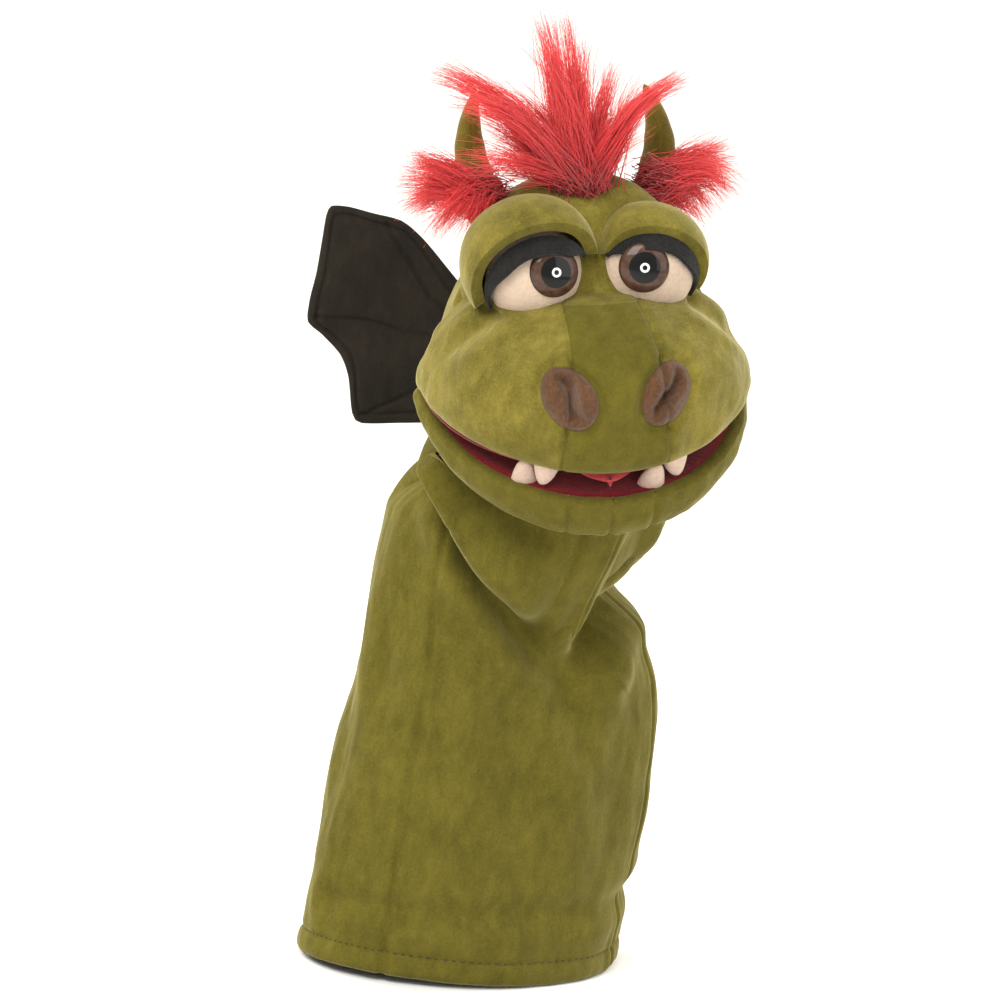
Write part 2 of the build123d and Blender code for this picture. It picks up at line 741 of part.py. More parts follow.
# ---- all of it ------------------------------------------------------------------------
def main():
    os.makedirs("parts", exist_ok=True)
    make_sleeve()
    make_hem_stitching()
    make_neck()
    make_nape()
    outside, inside = make_head()
    make_upper_mouth(inside)
    make_jaw()
    make_tongue()
    make_fangs()
    make_throat()
    eyelids = make_eyes(outside)
    make_nostrils(outside)
    horns = make_horns(outside)
    make_fur(outside, eyelids + horns)
    make_wings()


if __name__ == "__main__":
    main()
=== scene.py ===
"""A winged dragon hand puppet sewn from velour: its skins, stuffed pieces, fur and finishes."""

import json
import math
import random

import bmesh
import bpy
from mathutils import Matrix, Vector, noise


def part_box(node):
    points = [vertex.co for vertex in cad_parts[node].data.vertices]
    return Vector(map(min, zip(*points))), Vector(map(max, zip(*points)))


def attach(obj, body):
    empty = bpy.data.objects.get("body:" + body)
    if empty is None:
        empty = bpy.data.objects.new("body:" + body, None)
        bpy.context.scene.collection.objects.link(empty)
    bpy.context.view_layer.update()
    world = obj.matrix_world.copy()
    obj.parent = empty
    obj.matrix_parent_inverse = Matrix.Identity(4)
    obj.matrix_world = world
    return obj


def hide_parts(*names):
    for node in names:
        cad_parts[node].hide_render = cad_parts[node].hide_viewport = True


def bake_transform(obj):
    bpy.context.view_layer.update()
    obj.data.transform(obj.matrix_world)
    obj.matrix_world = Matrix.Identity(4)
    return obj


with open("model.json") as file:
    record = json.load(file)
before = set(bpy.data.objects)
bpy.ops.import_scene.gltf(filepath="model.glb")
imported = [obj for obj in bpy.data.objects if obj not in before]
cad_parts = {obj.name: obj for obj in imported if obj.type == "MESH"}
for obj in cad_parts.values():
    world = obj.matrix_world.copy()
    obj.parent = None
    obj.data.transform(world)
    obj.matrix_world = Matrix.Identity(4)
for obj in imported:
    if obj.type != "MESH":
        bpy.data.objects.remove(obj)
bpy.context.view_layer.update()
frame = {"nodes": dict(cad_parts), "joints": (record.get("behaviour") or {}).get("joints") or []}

MM = 0.001
SIDES = (("left", 1), ("right", -1))
JOINTS = {joint["name"]: joint for joint in frame["joints"]}

# The head's own frame: its origin is the middle of the mouth's fold and the face looks along -Y.
FOLD = Vector(JOINTS["jaw_open"]["pos_m"])
HEAD_SIDE = Vector(JOINTS["jaw_open"]["axis"]).normalized()
HEAD_UP = Vector(JOINTS["wing_flap_left"]["axis"]).normalized()
HEAD_BACK = HEAD_UP.cross(HEAD_SIDE)
HEAD = Matrix.Translation(FOLD) @ Matrix((HEAD_SIDE, HEAD_BACK, HEAD_UP)).transposed().to_4x4()
HEAD_TURN = -23  # degrees that the head looks aside from the sleeve
UPPER_SLOPE = math.radians(25)
LOWER_SLOPE = math.radians(35)
LOWER = HEAD @ Matrix.Rotation(LOWER_SLOPE, 4, "X")
UPPER = HEAD @ Matrix.Rotation(UPPER_SLOPE, 4, "X")

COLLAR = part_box("neck_front_panel")[1].z / MM
CROWN = 84.0  # the top of the head over the fold, in millimetres like all the sizes below
BROW = 36.0

SLEEVE_CLOTH = 2.2
NECK_CLOTH = 2.0
THROAT_CLOTH = 1.8
FACE_CLOTH = 1.6
MOUTH_BOARD = 1.2
LID_PAD = 5.0
LASH_FELT = 1.6


# ---- working with forms ----------------------------------------------------------------
def smoothstep(low, high, x):
    t = min(max((x - low) / (high - low), 0.0), 1.0)
    return t * t * (3 - 2 * t)


def bump(distance, width):
    """A rounded rise of height 1 that fades over about two widths."""
    return math.exp(-((distance / width) ** 2))


def blended(a, b, softness):
    """The larger of two lengths, with the step between them rounded."""
    h = max(softness - abs(a - b), 0.0) / softness
    return max(a, b) + h * h * softness / 4


def along(levels, height):
    """Reads a row of sizes at a height, smoothly, from rows of (height, size, size...)."""
    if height <= levels[0][0]:
        return levels[0][1:]
    for i in range(len(levels) - 1):
        low, high = levels[i], levels[i + 1]
        if height <= high[0]:
            span = high[0] - low[0]
            t = (height - low[0]) / span
            before = levels[max(i - 1, 0)]
            after = levels[min(i + 2, len(levels) - 1)]
            values = []
            for k in range(1, len(low)):
                m0 = (high[k] - before[k]) / (high[0] - before[0]) * span
                m1 = (after[k] - low[k]) / (after[0] - low[0]) * span
                values.append(
                    (2 * t**3 - 3 * t**2 + 1) * low[k]
                    + (t**3 - 2 * t**2 + t) * m0
                    + (3 * t**2 - 2 * t**3) * high[k]
                    + (t**3 - t**2) * m1
                )
            return values
    return levels[-1][1:]


def gap_to(path, x, y):
    """Distance from a place to a path of straight runs, and how far along the path it is."""
    nearest, share = 1e9, 0.0
    for i in range(len(path) - 1):
        ax, ay = path[i]
        bx, by = path[i + 1]
        dx, dy = bx - ax, by - ay
        t = min(max(((x - ax) * dx + (y - ay) * dy) / (dx * dx + dy * dy), 0.0), 1.0)
        distance = math.hypot(x - ax - t * dx, y - ay - t * dy)
        if distance < nearest:
            nearest, share = distance, (i + t) / (len(path) - 1)
    return nearest, share


def laid_form(across, up, surface, outward_from=None):
    """A grid of quads laid over surface(u, v), with u and v from 0 to 1, its doubles merged."""
    form = bmesh.new()
    bmesh.ops.create_grid(form, x_segments=across, y_segments=up, size=0.5)
    for point in form.verts:
        point.co = surface(point.co.x + 0.5, point.co.y + 0.5) * MM
    bmesh.ops.remove_doubles(form, verts=form.verts, dist=2e-6)
    bmesh.ops.dissolve_degenerate(form, edges=form.edges, dist=1e-7)
    bmesh.ops.recalc_face_normals(form, faces=form.faces)
    if outward_from is not None:
        centre = Vector(outward_from) * MM
        facing = sum(f.normal.dot((f.calc_center_median() - centre).normalized()) for f in form.faces)
        if facing < 0:
            bmesh.ops.reverse_faces(form, faces=form.faces)
    return form


def placed(name, form, finish):
    """Puts a form in the scene as one smooth object with one finish."""
    mesh = bpy.data.meshes.new(name)
    form.to_mesh(mesh)
    form.free()
    mesh.materials.append(finish)
    mesh.polygons.foreach_set("use_smooth", [True] * len(mesh.polygons))
    thing = bpy.data.objects.new(name, mesh)
    bpy.context.scene.collection.objects.link(thing)
    return thing


def piece(name, form, finish, body=None, stands_for=(), place=None):
    """Makes one finished piece from a form, hides the parts that it stands for and hangs it on the body
    that it moves with.
    """
    if place is not None:
        form.transform(place)
    thing = placed(name, form, finish)
    if stands_for:
        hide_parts(*stands_for)
    if body:
        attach(thing, body)
    return thing


def thicken(thing, depth, rim=True):
    """Gives a cloth skin its thickness, inwards, with its edges closed unless they are sewn on."""
    wall = thing.modifiers.new("cloth", "SOLIDIFY")
    wall.thickness = depth * MM
    wall.offset = -1
    wall.use_rim = rim
    return thing


# ---- finishes --------------------------------------------------------------------------
class Reading:
    """A number or colour in a finish that Python arithmetic works on."""

    def __init__(self, finish, socket):
        self.finish = finish
        self.socket = socket

    def _sum(self, operation, first, second):
        return self.finish.node("Math", {"operation": operation}, first, second)

    def __add__(self, other):
        return self._sum("ADD", self, other)

    def __radd__(self, other):
        return self._sum("ADD", other, self)

    def __mul__(self, other):
        return self._sum("MULTIPLY", self, other)

    def __rmul__(self, other):
        return self._sum("MULTIPLY", other, self)


class Finish:
    """One finish: a Principled shader and the nodes that vary it over a surface."""

    def __init__(self, name, roughness=0.9, **constants):
        self.material = bpy.data.materials.new(name)
        self.material.use_nodes = True
        self.tree = self.material.node_tree
        self.shader = self.tree.nodes["Principled BSDF"]
        self.shader.inputs["Roughness"].default_value = roughness
        for label, value in constants.items():
            self.shader.inputs[label.replace("_", " ")].default_value = value
        coordinates = self.tree.nodes.new("ShaderNodeTexCoord")
        self.place = Reading(self, coordinates.outputs["Object"])
        self.uv = Reading(self, coordinates.outputs["UV"])

    def node(self, kind, settings, *values, **named):
        """Adds a node, sets it up, then fills its sockets in order or by name."""
        made = self.tree.nodes.new("ShaderNode" + kind)
        for setting, value in settings.items():
            if setting == "stops":
                ramp = made.color_ramp
                while len(ramp.elements) < len(value):
                    ramp.elements.new(0.5)
                for element, (position, colour) in zip(ramp.elements, value):
                    element.position = position
                    element.color = (*colour, 1.0)
            else:
                setattr(made, setting, value)
        by_name = ((made.inputs[label], value) for label, value in named.items())
        for socket, value in [*zip(made.inputs, values), *by_name]:
            if isinstance(value, Reading):
                self.tree.links.new(value.socket, socket)
            elif value is not None:
                socket.default_value = value
        return Reading(self, made.outputs[0])

    def noise(self, scale, detail=2.0, roughness=0.5, stretch=(1, 1, 1)):
        place = self.node("Mapping", {}, self.place, Scale=stretch)
        return self.node("TexNoise", {}, Vector=place, Scale=scale, Detail=detail, Roughness=roughness)

    def ramp(self, factor, *stops):
        return self.node("ValToRGB", {"stops": stops}, factor)

    def mixed(self, factor, a, b, how="MIX"):
        made = self.tree.nodes.new("ShaderNodeMix")
        made.data_type = "RGBA"
        made.blend_type = how
        for socket, value in ((made.inputs[0], factor), (made.inputs[6], a), (made.inputs[7], b)):
            if isinstance(value, Reading):
                self.tree.links.new(value.socket, socket)
            else:
                socket.default_value = value if isinstance(value, float) else (*value, 1.0)
        return Reading(self, made.outputs[2])

    def wear(self, label, reading):
        self.tree.links.new(reading.socket, self.shader.inputs[label])
        return self

    def nap(self, height, depth, strength=1.0):
        """Raises or presses the surface by height, depth metres at most."""
        normal = self.node("Bump", {}, Strength=strength, Distance=depth, Height=height)
        return self.wear("Normal", normal)


def linear(red, green, blue):
    """An sRGB colour from 0 to 255 as the linear colour that shaders take."""

    def straightened(level):
        return level / 255 / 12.92 if level < 10.3 else ((level / 255 + 0.055) / 1.055) ** 2.4

    return tuple(straightened(level) for level in (red, green, blue))


def velour(name, pale, middle, deep, sheen=0.5, tint=(1, 1, 1), nap_depth=0.0006, mottle=0.5):
    """Short pile: brushed patches that turn the light, over a fine nap."""
    finish = Finish(name, roughness=0.92, Sheen_Weight=sheen, Sheen_Roughness=0.35, Specular_IOR_Level=0.15)
    finish.shader.inputs["Sheen Tint"].default_value = (*tint, 1.0)
    patches = finish.noise(34, 3.0, 0.6)
    grain = finish.noise(1000, 2.0, 0.7)
    brushed = finish.noise(190, 3.0, 0.6, (1, 1, 0.5))
    tone = patches * mottle + brushed * 0.36 + grain * 0.3 + (0.45 - mottle) * 0.5
    stops = ((0.38, linear(*deep)), (0.55, linear(*middle)), (0.74, linear(*pale)))
    finish.wear("Base Color", finish.ramp(tone, *stops))
    return finish.nap(grain * 0.6 + brushed * 0.4, nap_depth, 0.7).material


def felt(name, pale, deep, sheen=0.25):
    """Matted fibres with no direction."""
    finish = Finish(name, roughness=0.95, Sheen_Weight=sheen, Sheen_Roughness=0.5, Specular_IOR_Level=0.12)
    fibres = finish.noise(650, 4.0, 0.75)
    clouds = finish.noise(70, 2.0)
    stops = ((0.35, linear(*deep)), (0.66, linear(*pale)))
    finish.wear("Base Color", finish.ramp(fibres * 0.6 + clouds * 0.4, *stops))
    return finish.nap(fibres, 0.0007, 0.8).material


def fur(name, root, middle, tip):
    """Long pile with painted shade at the root and painted light, paler, at the tip; each lock has its own
    tone.
    """
    finish = Finish(name, roughness=0.55, Sheen_Weight=0.3, Specular_IOR_Level=0.35)
    reach = finish.node("SeparateXYZ", {}, finish.uv)
    locks = finish.noise(210, 2.0, 0.6)
    # Root to tip: the dark root is painted shade deep in the pile and the pale tip is painted light through
    # thin strands.
    stops = ((0.1, linear(*root)), (0.45, linear(*middle)), (1.0, linear(*tip)))
    return finish.wear("Base Color", finish.ramp(reach * 0.8 + locks * 0.35, *stops)).material


# Colours are sRGB, from pale to deep; fur runs from root to tip.
SHEEN, FACE_SHEEN = (1.0, 0.95, 0.5), (1.0, 0.95, 0.55)
GREEN = velour("green_velour", (106, 98, 36), (88, 81, 26), (70, 64, 19), 0.3, SHEEN, mottle=0.3)
# The face's velour is a lighter copy of the green velour: painted light on the front and top of the head
# and on the lids.
LIT_FACE_GREEN = velour("green_velour_face_painted_light", (132, 120, 52), (104, 95, 36), (78, 71, 24), 0.4, FACE_SHEEN)
BRIDGE = velour("green_velour_bridge", (104, 96, 33), (88, 81, 25), (72, 66, 19), 0.3, SHEEN, mottle=0.3)
OLIVE = velour("olive_velour", (112, 95, 34), (88, 76, 25), (62, 54, 18), 0.3, (1.0, 0.9, 0.5))
WING = velour("dark_velour", (44, 39, 30), (35, 31, 26), (26, 24, 21), 0.06, (0.9, 0.85, 0.6), 0.0004)
THREAD = felt("green_thread", (76, 70, 28), (50, 46, 18))
LINING = felt("red_lining", (132, 24, 32), (92, 14, 22), 0.2)
TONGUE = felt("coral_felt", (214, 88, 86), (188, 62, 64), 0.3)
FANG = felt("white_felt", (214, 190, 174), (190, 162, 146), 0.2)
EYE_WHITE = felt("eye_felt", (212, 192, 172), (192, 168, 148), 0.2)
# The nostrils' brown felt is darkened: the felt's own brown with painted shade of the sunken nostrils.
NOSTRIL_FELT_PAINTED_SHADE = felt("brown_felt", (104, 71, 47), (66, 45, 29), 0.2)
LASH = felt("black_felt", (40, 40, 38), (20, 20, 20), 0.12)
# Its dark root is painted shade and its pale tip is painted light.
FUR_PAINTED_SHADE_AND_LIGHT = fur("red_fur", (120, 10, 16), (205, 24, 32), (232, 62, 62))
FILL = felt("fill", (232, 230, 224), (205, 202, 196))
POCKET = felt("pocket_cloth", (122, 122, 66), (92, 92, 46))


def iris_finish():
    """A brown iris round a black pupil with a white ring in it, a painted highlight, by distance from the
    middle.
    """
    finish = Finish("eye_plastic", 0.5, Specular_IOR_Level=0.1, Coat_Weight=0.5, Coat_Roughness=0.05)
    away = finish.node("SeparateXYZ", {}, finish.uv)
    streaks = finish.noise(420, 2.0)
    brown = finish.ramp(streaks, (0.3, linear(58, 38, 30)), (0.7, linear(84, 58, 46)))
    black, dim, white = (0, 0, 0), (0.35, 0.35, 0.35), (1, 1, 1)
    shade = finish.ramp(away, (0.60, black), (0.64, white), (0.95, white), (1.0, dim))
    colour = finish.mixed(1.0, brown, shade, "MULTIPLY")
    # The white ring is a painted highlight on the pupil.
    ring = finish.ramp(away, (0.0, black), (0.09, black), (0.12, white), (0.17, white), (0.20, black))
    return finish.wear("Base Color", finish.mixed(1.0, colour, ring, "ADD")).material


IRIS_PAINTED_HIGHLIGHT = iris_finish()

# ---- sleeve and neck -------------------------------------------------------------------
SLEEVE = (  # height, half width, half depth, centre across, centre back
    (0, 75, 45, 0, 0),
    (30, 75, 44, 1.5, 0),
    (65, 76, 43, 4, 0),
    (103, 73, 41, 5, 0),
    (122, 68, 40, 2.5, 0),
    (138, 63, 38.5, -1, 1),
    (160, 59, 38, -4, 2),
    (190, 57, 40, -3.5, 2),
    (215, 56, 43, -2, 3),
    (240, 55, 44, 0, 4),
)
SEAM = ((-140, 0), (-143, 90), (-145, 180), (-150, 240))
SEAM_FAR = ((-40, 0), (-37, 90), (-35, 180), (-30, 240))
SEAM_BACK = ((90, 0), (90, 240))
CREASES = (  # path of (degrees round, height), depth, width
    (((-160, 222), (-148, 198), (-130, 172), (-110, 152), (-94, 134), (-80, 116), (-70, 96)), 6.0, 6.5),
    (((12, 168), (-20, 164), (-46, 161), (-66, 151), (-80, 134), (-84, 122)), 10.5, 7.5),
    (((-96, 122), (-86, 106), (-76, 88)), 2.6, 6.0),
    (((-60, 80), (-58, 54), (-62, 32)), 1.4, 12.0),
    (((-98, 150), (-104, 110), (-100, 60), (-106, 20)), 1.8, 13.0),
    (((-128, 150), (-134, 110), (-130, 64)), 1.6, 10.0),
    (((176, 176), (-170, 140), (-166, 104)), 2.4, 9.0),
    (((160, 120), (172, 80), (168, 40)), 2.0, 10.0),
    (((30, 150), (44, 110), (40, 60)), 3.0, 10.0),
    (((70, 190), (76, 140), (72, 90)), 3.0, 11.0),
    (((120, 180), (112, 130), (118, 70)), 3.0, 11.0),
    (((178, 40), (-172, 26), (-165, 22)), 2.2, 5.0),
)
SWELLS = (  # (degrees round, height), rise, spread
    ((-28, 126), 3.5, 18.0),
    ((-56, 128), 3.0, 13.0),
    ((-146, 186), 2.5, 14.0),
)
PER_DEGREE = 1.06  # millimetres of cloth to a degree round the sleeve
HEM_LINE = 9.5
STITCHES = 118
INNER_SHARE = 0.26  # how much of the tube's grid is its inner face
NECK_RING = (-26, 0.95)  # height on the head, and share of its size there


def unrolled(degrees, height):
    """Places on the cloth in millimetres, so that distances on it mean something."""
    return degrees * PER_DEGREE, height


def around(degrees, other):
    """degrees, moved by whole turns until it is nearest to other."""
    return degrees + 360 * round((other - degrees) / 360)


def cloth_rise(degrees, height):
    """How far the sleeve's cloth stands out from its plain form: folds, seams and the hem."""
    rise = 0.0
    for path, depth, width in CREASES:
        middle = sum(p[0] for p in path) / len(path)
        x, y = unrolled(around(degrees, middle), height)
        distance, share = gap_to([unrolled(*p) for p in path], x, y)
        fade = smoothstep(0, 0.22, share + 0.06) * smoothstep(0, 0.3, 1.04 - share)
        rise -= depth * bump(distance, width) * fade
        rise += 0.42 * depth * bump(distance - 2.1 * width, width) * fade
    for (at, level), swell, spread in SWELLS:
        x, y = unrolled(around(degrees, at), height)
        rise += swell * bump(math.hypot(x - at * PER_DEGREE, y - level), spread)
    for seam in (SEAM, SEAM_FAR, SEAM_BACK):
        x, y = unrolled(around(degrees, seam[1][0]), height)
        distance, _ = gap_to([unrolled(*p) for p in seam], x, y)
        rise -= 1.4 * bump(distance, 1.3)
        rise += 0.5 * bump(distance - 3.6, 2.4)
    turn = math.radians(degrees)
    place = Vector((2.2 * math.cos(turn), 2.2 * math.sin(turn), height / 62))
    rise += 2.4 * noise.noise(place) * smoothstep(0, 40, height + 12)
    rise += 0.5 * noise.noise(place * 4.3)
    rise -= 0.8 * bump(height - HEM_LINE, 1.1)
    rise += 0.7 * bump(height - 4.5, 4.0)
    return rise


def sleeve_place(degrees, height, inset=0.0):
    half_width, half_depth, across, back = along(SLEEVE, height)
    rise = cloth_rise(degrees, height) - inset
    turn = math.radians(degrees)
    flat = Vector((math.cos(turn) * half_width, math.sin(turn) * half_depth, 0))
    out = Vector((math.cos(turn) / half_width, math.sin(turn) / half_depth, 0)).normalized()
    hang = 1.6 * math.sin(2 * turn + 0.7) * (1 - smoothstep(0, 60, height))
    return Vector((across, back, height + hang)) + flat + out * rise


def sleeve_surface(u, v):
    """Both faces of the tube: from the top down inside, round the hem, and up outside."""
    if v < INNER_SHARE:
        share = (INNER_SHARE - v) / INNER_SHARE
    else:
        share = (v - INNER_SHARE) / (1 - INNER_SHARE)
    inside = smoothstep(INNER_SHARE + 0.01, INNER_SHARE - 0.01, v)
    return sleeve_place(-180 + 360 * u, COLLAR * share, SLEEVE_CLOTH * inside)


def face_outwards(form):
    """Turns the outer face of a double wall round the middle outwards."""
    outermost = max(form.faces, key=lambda face: face.calc_center_median().xy.length)
    if outermost.normal.xy.dot(outermost.calc_center_median().xy) < 0:
        bmesh.ops.reverse_faces(form, faces=form.faces)
    return form


def neck_surface(u, v):
    """From the top of the sleeve's tube to a ring inside the hood, behind the jaw."""
    degrees = -180 + 360 * u
    turn = math.radians(degrees + 90 - HEAD_TURN)
    ring = head_place(turn, NECK_RING[0], False, False) * NECK_RING[1]
    if math.cos(turn) > 0:
        ring = Vector((ring.x * 0.86, ring.y * 0.2, ring.z - 10))
    ring = (HEAD @ (ring * MM)) / MM
    foot = sleeve_place(degrees, COLLAR + 26 * v)
    return foot.lerp(ring, smoothstep(0, 1, v))


def make_sleeve():
    """The sleeve and the neck, one tube of cloth made as two pieces that meet at the collar."""
    panels = ["sleeve_front_panel", "sleeve_side_panel_left", "sleeve_side_panel_right"]
    form = face_outwards(laid_form(300, 300, sleeve_surface))
    skin = piece("sleeve_cloth", form, GREEN, stands_for=panels)
    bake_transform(skin)
    panels = ["neck_front_panel", "neck_side_panel_left", "neck_side_panel_right", "nape_skin"]
    form = laid_form(300, 60, neck_surface, (0, 0, 205))
    neck = piece("neck_cloth", form, GREEN, stands_for=panels)
    thicken(neck, NECK_CLOTH, False)
    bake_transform(neck)


def make_hem_stitches():
    """One row of topstitching round the hem, each stitch sunk a little at its ends."""
    row = bmesh.new()
    for i in range(STITCHES):
        middle = 360 * (i + 0.5) / STITCHES
        ends = [sleeve_place(middle + side * 125 / STITCHES, HEM_LINE, 0.1) * MM for side in (-1, 1)]
        run = ends[1] - ends[0]
        turned = run.to_track_quat("Z", "Y").to_matrix().to_4x4()
        shape = Matrix.Diagonal((0.5, 0.5, run.length / MM / 2, 1))
        spot = Matrix.Translation((ends[0] + ends[1]) / 2) @ turned @ shape
        bmesh.ops.create_uvsphere(row, u_segments=6, v_segments=6, radius=MM, matrix=spot)
    piece("hem_thread", row, THREAD, "sleeve", ["hem_stitching"])


# ---- head ------------------------------------------------------------------------------
SKULL = (  # height over the fold, half width, reach forward, reach back
    (-40, 54, 46, 68),
    (-20, 58, 48, 74),
    (0, 61, 48, 78),
    (16, 58, 44, 78),
    (30, 52, 38, 75),
    (44, 45, 32, 69),
    (58, 40, 27, 59),
    (69, 34, 22, 48),
    (77, 25, 14, 35),
    (82, 14, 6, 19),
    (CROWN, 2, 1, 2),
)
MUZZLE = (
    (-34, 62, 62, 6),
    (-16, 64.5, 67, 12),
    (-2, 66.5, 70.5, 16),
    (8, 65, 71, 18),
    (18, 61, 67.5, 14),
    (26, 54.5, 60.5, 8),
    (32, 48, 52, 4),
    (37, 34, 43, 2),
    (42, 8, 22, 1),
)
NOSTRIL_AT = (18.5, 3.5)
NOSTRIL_SIZE = (10.2, 14.0)
NOSTRIL_TILT = math.radians(28)
BRIDGE_AT_FOLD = 19.0
BRIDGE_FLARE = 0.11  # how fast the bridge widens downwards
STRIP = 15.0  # forehead seams, from the middle
CHEEK_SEAM, HOOD_SEAM = -20, 34  # how far back these seams run
HOOD_FOOT = -34
CHEEK_FOLDS = (  # path of (across, height), depth
    (((61, 15), (50, 25), (39, 33)), 3.4),
    (((62, 25), (52, 33), (43, 40)), 2.4),
)
LIP_ROLL = (9.0, 7.0)  # how high the lip's rounding reaches, and how far in it goes


def bridge_half_width(height):
    """The nose bridge's seams, from the middle: narrow at the brow and wide at the lip."""
    return BRIDGE_AT_FOLD - BRIDGE_FLARE * height


def reach(sizes, turn):
    half_width, front, back = sizes
    depth = front if abs(turn) < math.pi / 2 else back
    return 1 / math.hypot(math.sin(turn) / half_width, math.cos(turn) / depth)


def lip_drop(turn):
    """Height of the upper lip's edge, which follows the upper half of the mouth."""
    return -59 * max(math.cos(turn), 0) * math.tan(UPPER_SLOPE)


def in_nostril(x, height, side):
    """A place across and along a nostril's oval, from its middle."""
    across, up = x - side * NOSTRIL_AT[0], height - NOSTRIL_AT[1]
    lean = NOSTRIL_TILT * side
    return across * math.cos(lean) - up * math.sin(lean), across * math.sin(lean) + up * math.cos(lean)


def head_place(turn, height, lip=True, hollows=True):
    """A place on the head's skin. The turn is from straight ahead, towards the left."""
    skull = reach(along(SKULL, height), turn)
    if height < MUZZLE[-1][0]:
        muzzle = reach(along(MUZZLE, height), turn)
        radius = blended(skull, muzzle, 5.0)
    else:
        radius = skull
    x, y = radius * math.sin(turn), -radius * math.cos(turn)
    if y < 0:
        for side in (1, -1):
            away = math.hypot(x - side * NOSTRIL_AT[0], (height - NOSTRIL_AT[1]) * 0.8)
            radius += 3.6 * bump(away, 13)
            a, b = in_nostril(x, height, side)
            oval = math.hypot(a / NOSTRIL_SIZE[0], b / NOSTRIL_SIZE[1])
            radius -= 2.2 * bump(oval - 1.0, 0.16)
            if hollows:
                radius -= 7.0 * smoothstep(0.96, 0.72, oval)
        radius += 2.2 * bump(x, 13) * smoothstep(-26, 0, height) * smoothstep(38, 20, height)
        seam = abs(abs(x) - bridge_half_width(height))
        on_front = smoothstep(-30, -34, y) if height < BROW + 2 else 0.0
        radius -= on_front * (1.3 * bump(seam, 1.0) - 0.5 * bump(seam - 3.2, 2.4))
        cheek = math.hypot((abs(x) - 47) / 1.2, (height - 6))
        radius += 1.6 * bump(cheek, 16)
        for fold, depth in CHEEK_FOLDS:
            crease, share = gap_to(fold, abs(x), height)
            radius -= depth * bump(crease, 2.2) * smoothstep(0, 0.3, share + 0.1)
            radius += 0.5 * depth * bump(crease - 5, 2.6) * smoothstep(0, 0.3, share)
        radius -= 0.8 * bump(height - BROW, 1.0)
    else:
        radius -= 0.8 * bump(x, 1.0) - 0.3 * bump(abs(x) - 3, 2)
    place = Vector((radius * math.sin(turn), -radius * math.cos(turn), height))
    rough = 1.3 * noise.noise(place / 17) + 0.4 * noise.noise(place / 6)
    edge = height - lip_drop(turn)
    front = smoothstep(math.radians(96), math.radians(84), abs(turn))
    tuck = 0.0
    if lip and front > 0:
        roll = 1 - min(max(edge, 0) / LIP_ROLL[0], 1.0)
        tuck = LIP_ROLL[1] * (1 - math.sqrt(max(1 - roll * roll, 0))) * front
    radius += rough * (1 - 0.6 * bump(edge, 4)) - tuck
    return Vector((radius * math.sin(turn), -radius * math.cos(turn), height))


def head_floor(turn):
    """The lower edge of the head's skin: the lip in front, and inside the neck behind."""
    behind = smoothstep(math.radians(88), math.radians(112), abs(turn))
    return lip_drop(turn) * (1 - behind) + HOOD_FOOT * behind


def head_surface(u, v):
    around_it = 2 * u - 1
    turn = math.pi * (0.5 * around_it + 0.5 * around_it**3)
    low = head_floor(turn)
    share = math.sin(v * math.pi / 2) ** 0.92
    return head_place(turn, low + (CROWN - low) * share)


def cut(form, at, facing):
    """Cuts an edge loop through a form along a plane of the head, in millimetres."""
    geometry = [*form.verts, *form.edges, *form.faces]
    bmesh.ops.bisect_plane(form, geom=geometry, dist=1e-7, plane_co=Vector(at) * MM, plane_no=facing)


def make_head():
    """One skin, cut along its seams into the ten panels that it is sewn from."""
    whole = laid_form(400, 190, head_surface, (0, 0, 20))
    cut(whole, (0, 0, BROW), (0, 0, 1))
    for side in (1, -1):
        cut(whole, (side * BRIDGE_AT_FOLD, 0, 0), (side, 0, BRIDGE_FLARE))
        cut(whole, (side * STRIP, 0, 0), (1, 0, 0))
    cut(whole, (0, CHEEK_SEAM, 0), (0, 1, 0))
    cut(whole, (0, HOOD_SEAM, 0), (0, 1, 0))
    cut(whole, (0, 0, 0), (1, 0, 0))

    def panel_of(face):
        x, y, z = face.calc_center_median() / MM
        side = "left" if x > 0 else "right"
        if y > HOOD_SEAM:
            return f"hood_panel_{side}"
        if z > BROW:
            return "forehead_panel" if abs(x) < STRIP else f"temple_panel_{side}"
        if y > CHEEK_SEAM:
            return f"cheek_panel_{side}"
        return "nose_bridge_panel" if abs(x) < bridge_half_width(z) else f"muzzle_panel_{side}"

    groups = {}
    for face in whole.faces:
        groups.setdefault(panel_of(face), []).append(face.index)
    for label, members in groups.items():
        part = whole.copy()
        part.faces.ensure_lookup_table()
        kept = set(members)
        spare = [face for face in part.faces if face.index not in kept]
        bmesh.ops.delete(part, geom=spare, context="FACES")
        if label == "nose_bridge_panel":
            finish = BRIDGE
        else:
            # Face panels take the lighter copy of the velour, which is painted light; the hood keeps the
            # plain green.
            finish = GREEN if "hood" in label else LIT_FACE_GREEN
        name = label.replace("_panel", "_skin")
        skin = piece(name, part, finish, "head", [label], HEAD)
        thicken(skin, FACE_CLOTH, False)
    whole.free()


def make_fillings():
    """The stuffing under the head's and the jaw's skins, which follows them from within."""

    def head_core(u, v):
        place = head_surface(u, 0.1 + 0.9 * v)
        middle = Vector((0, 4, min(place.z, 50)))
        away = place - middle
        return place - away.normalized() * 4.0 if away.length > 4 else place

    form = laid_form(90, 50, head_core, (0, 0, 20))
    nodes = ["muzzle_stuffing", "crown_stuffing"]
    core = piece("head_filling", form, FILL, "head", nodes, HEAD)

    def jaw_core(u, v):
        place = jaw_surface(u, 0.5 + 0.5 * v)
        return place - Vector((place.x, place.y, 0)).normalized() * 3.5 + Vector((0, 0, 0.6))

    form = laid_form(70, 30, jaw_core, (0, -20, -10))
    core = piece("jaw_filling", form, FILL, "jaw", ["jaw_stuffing"], LOWER)


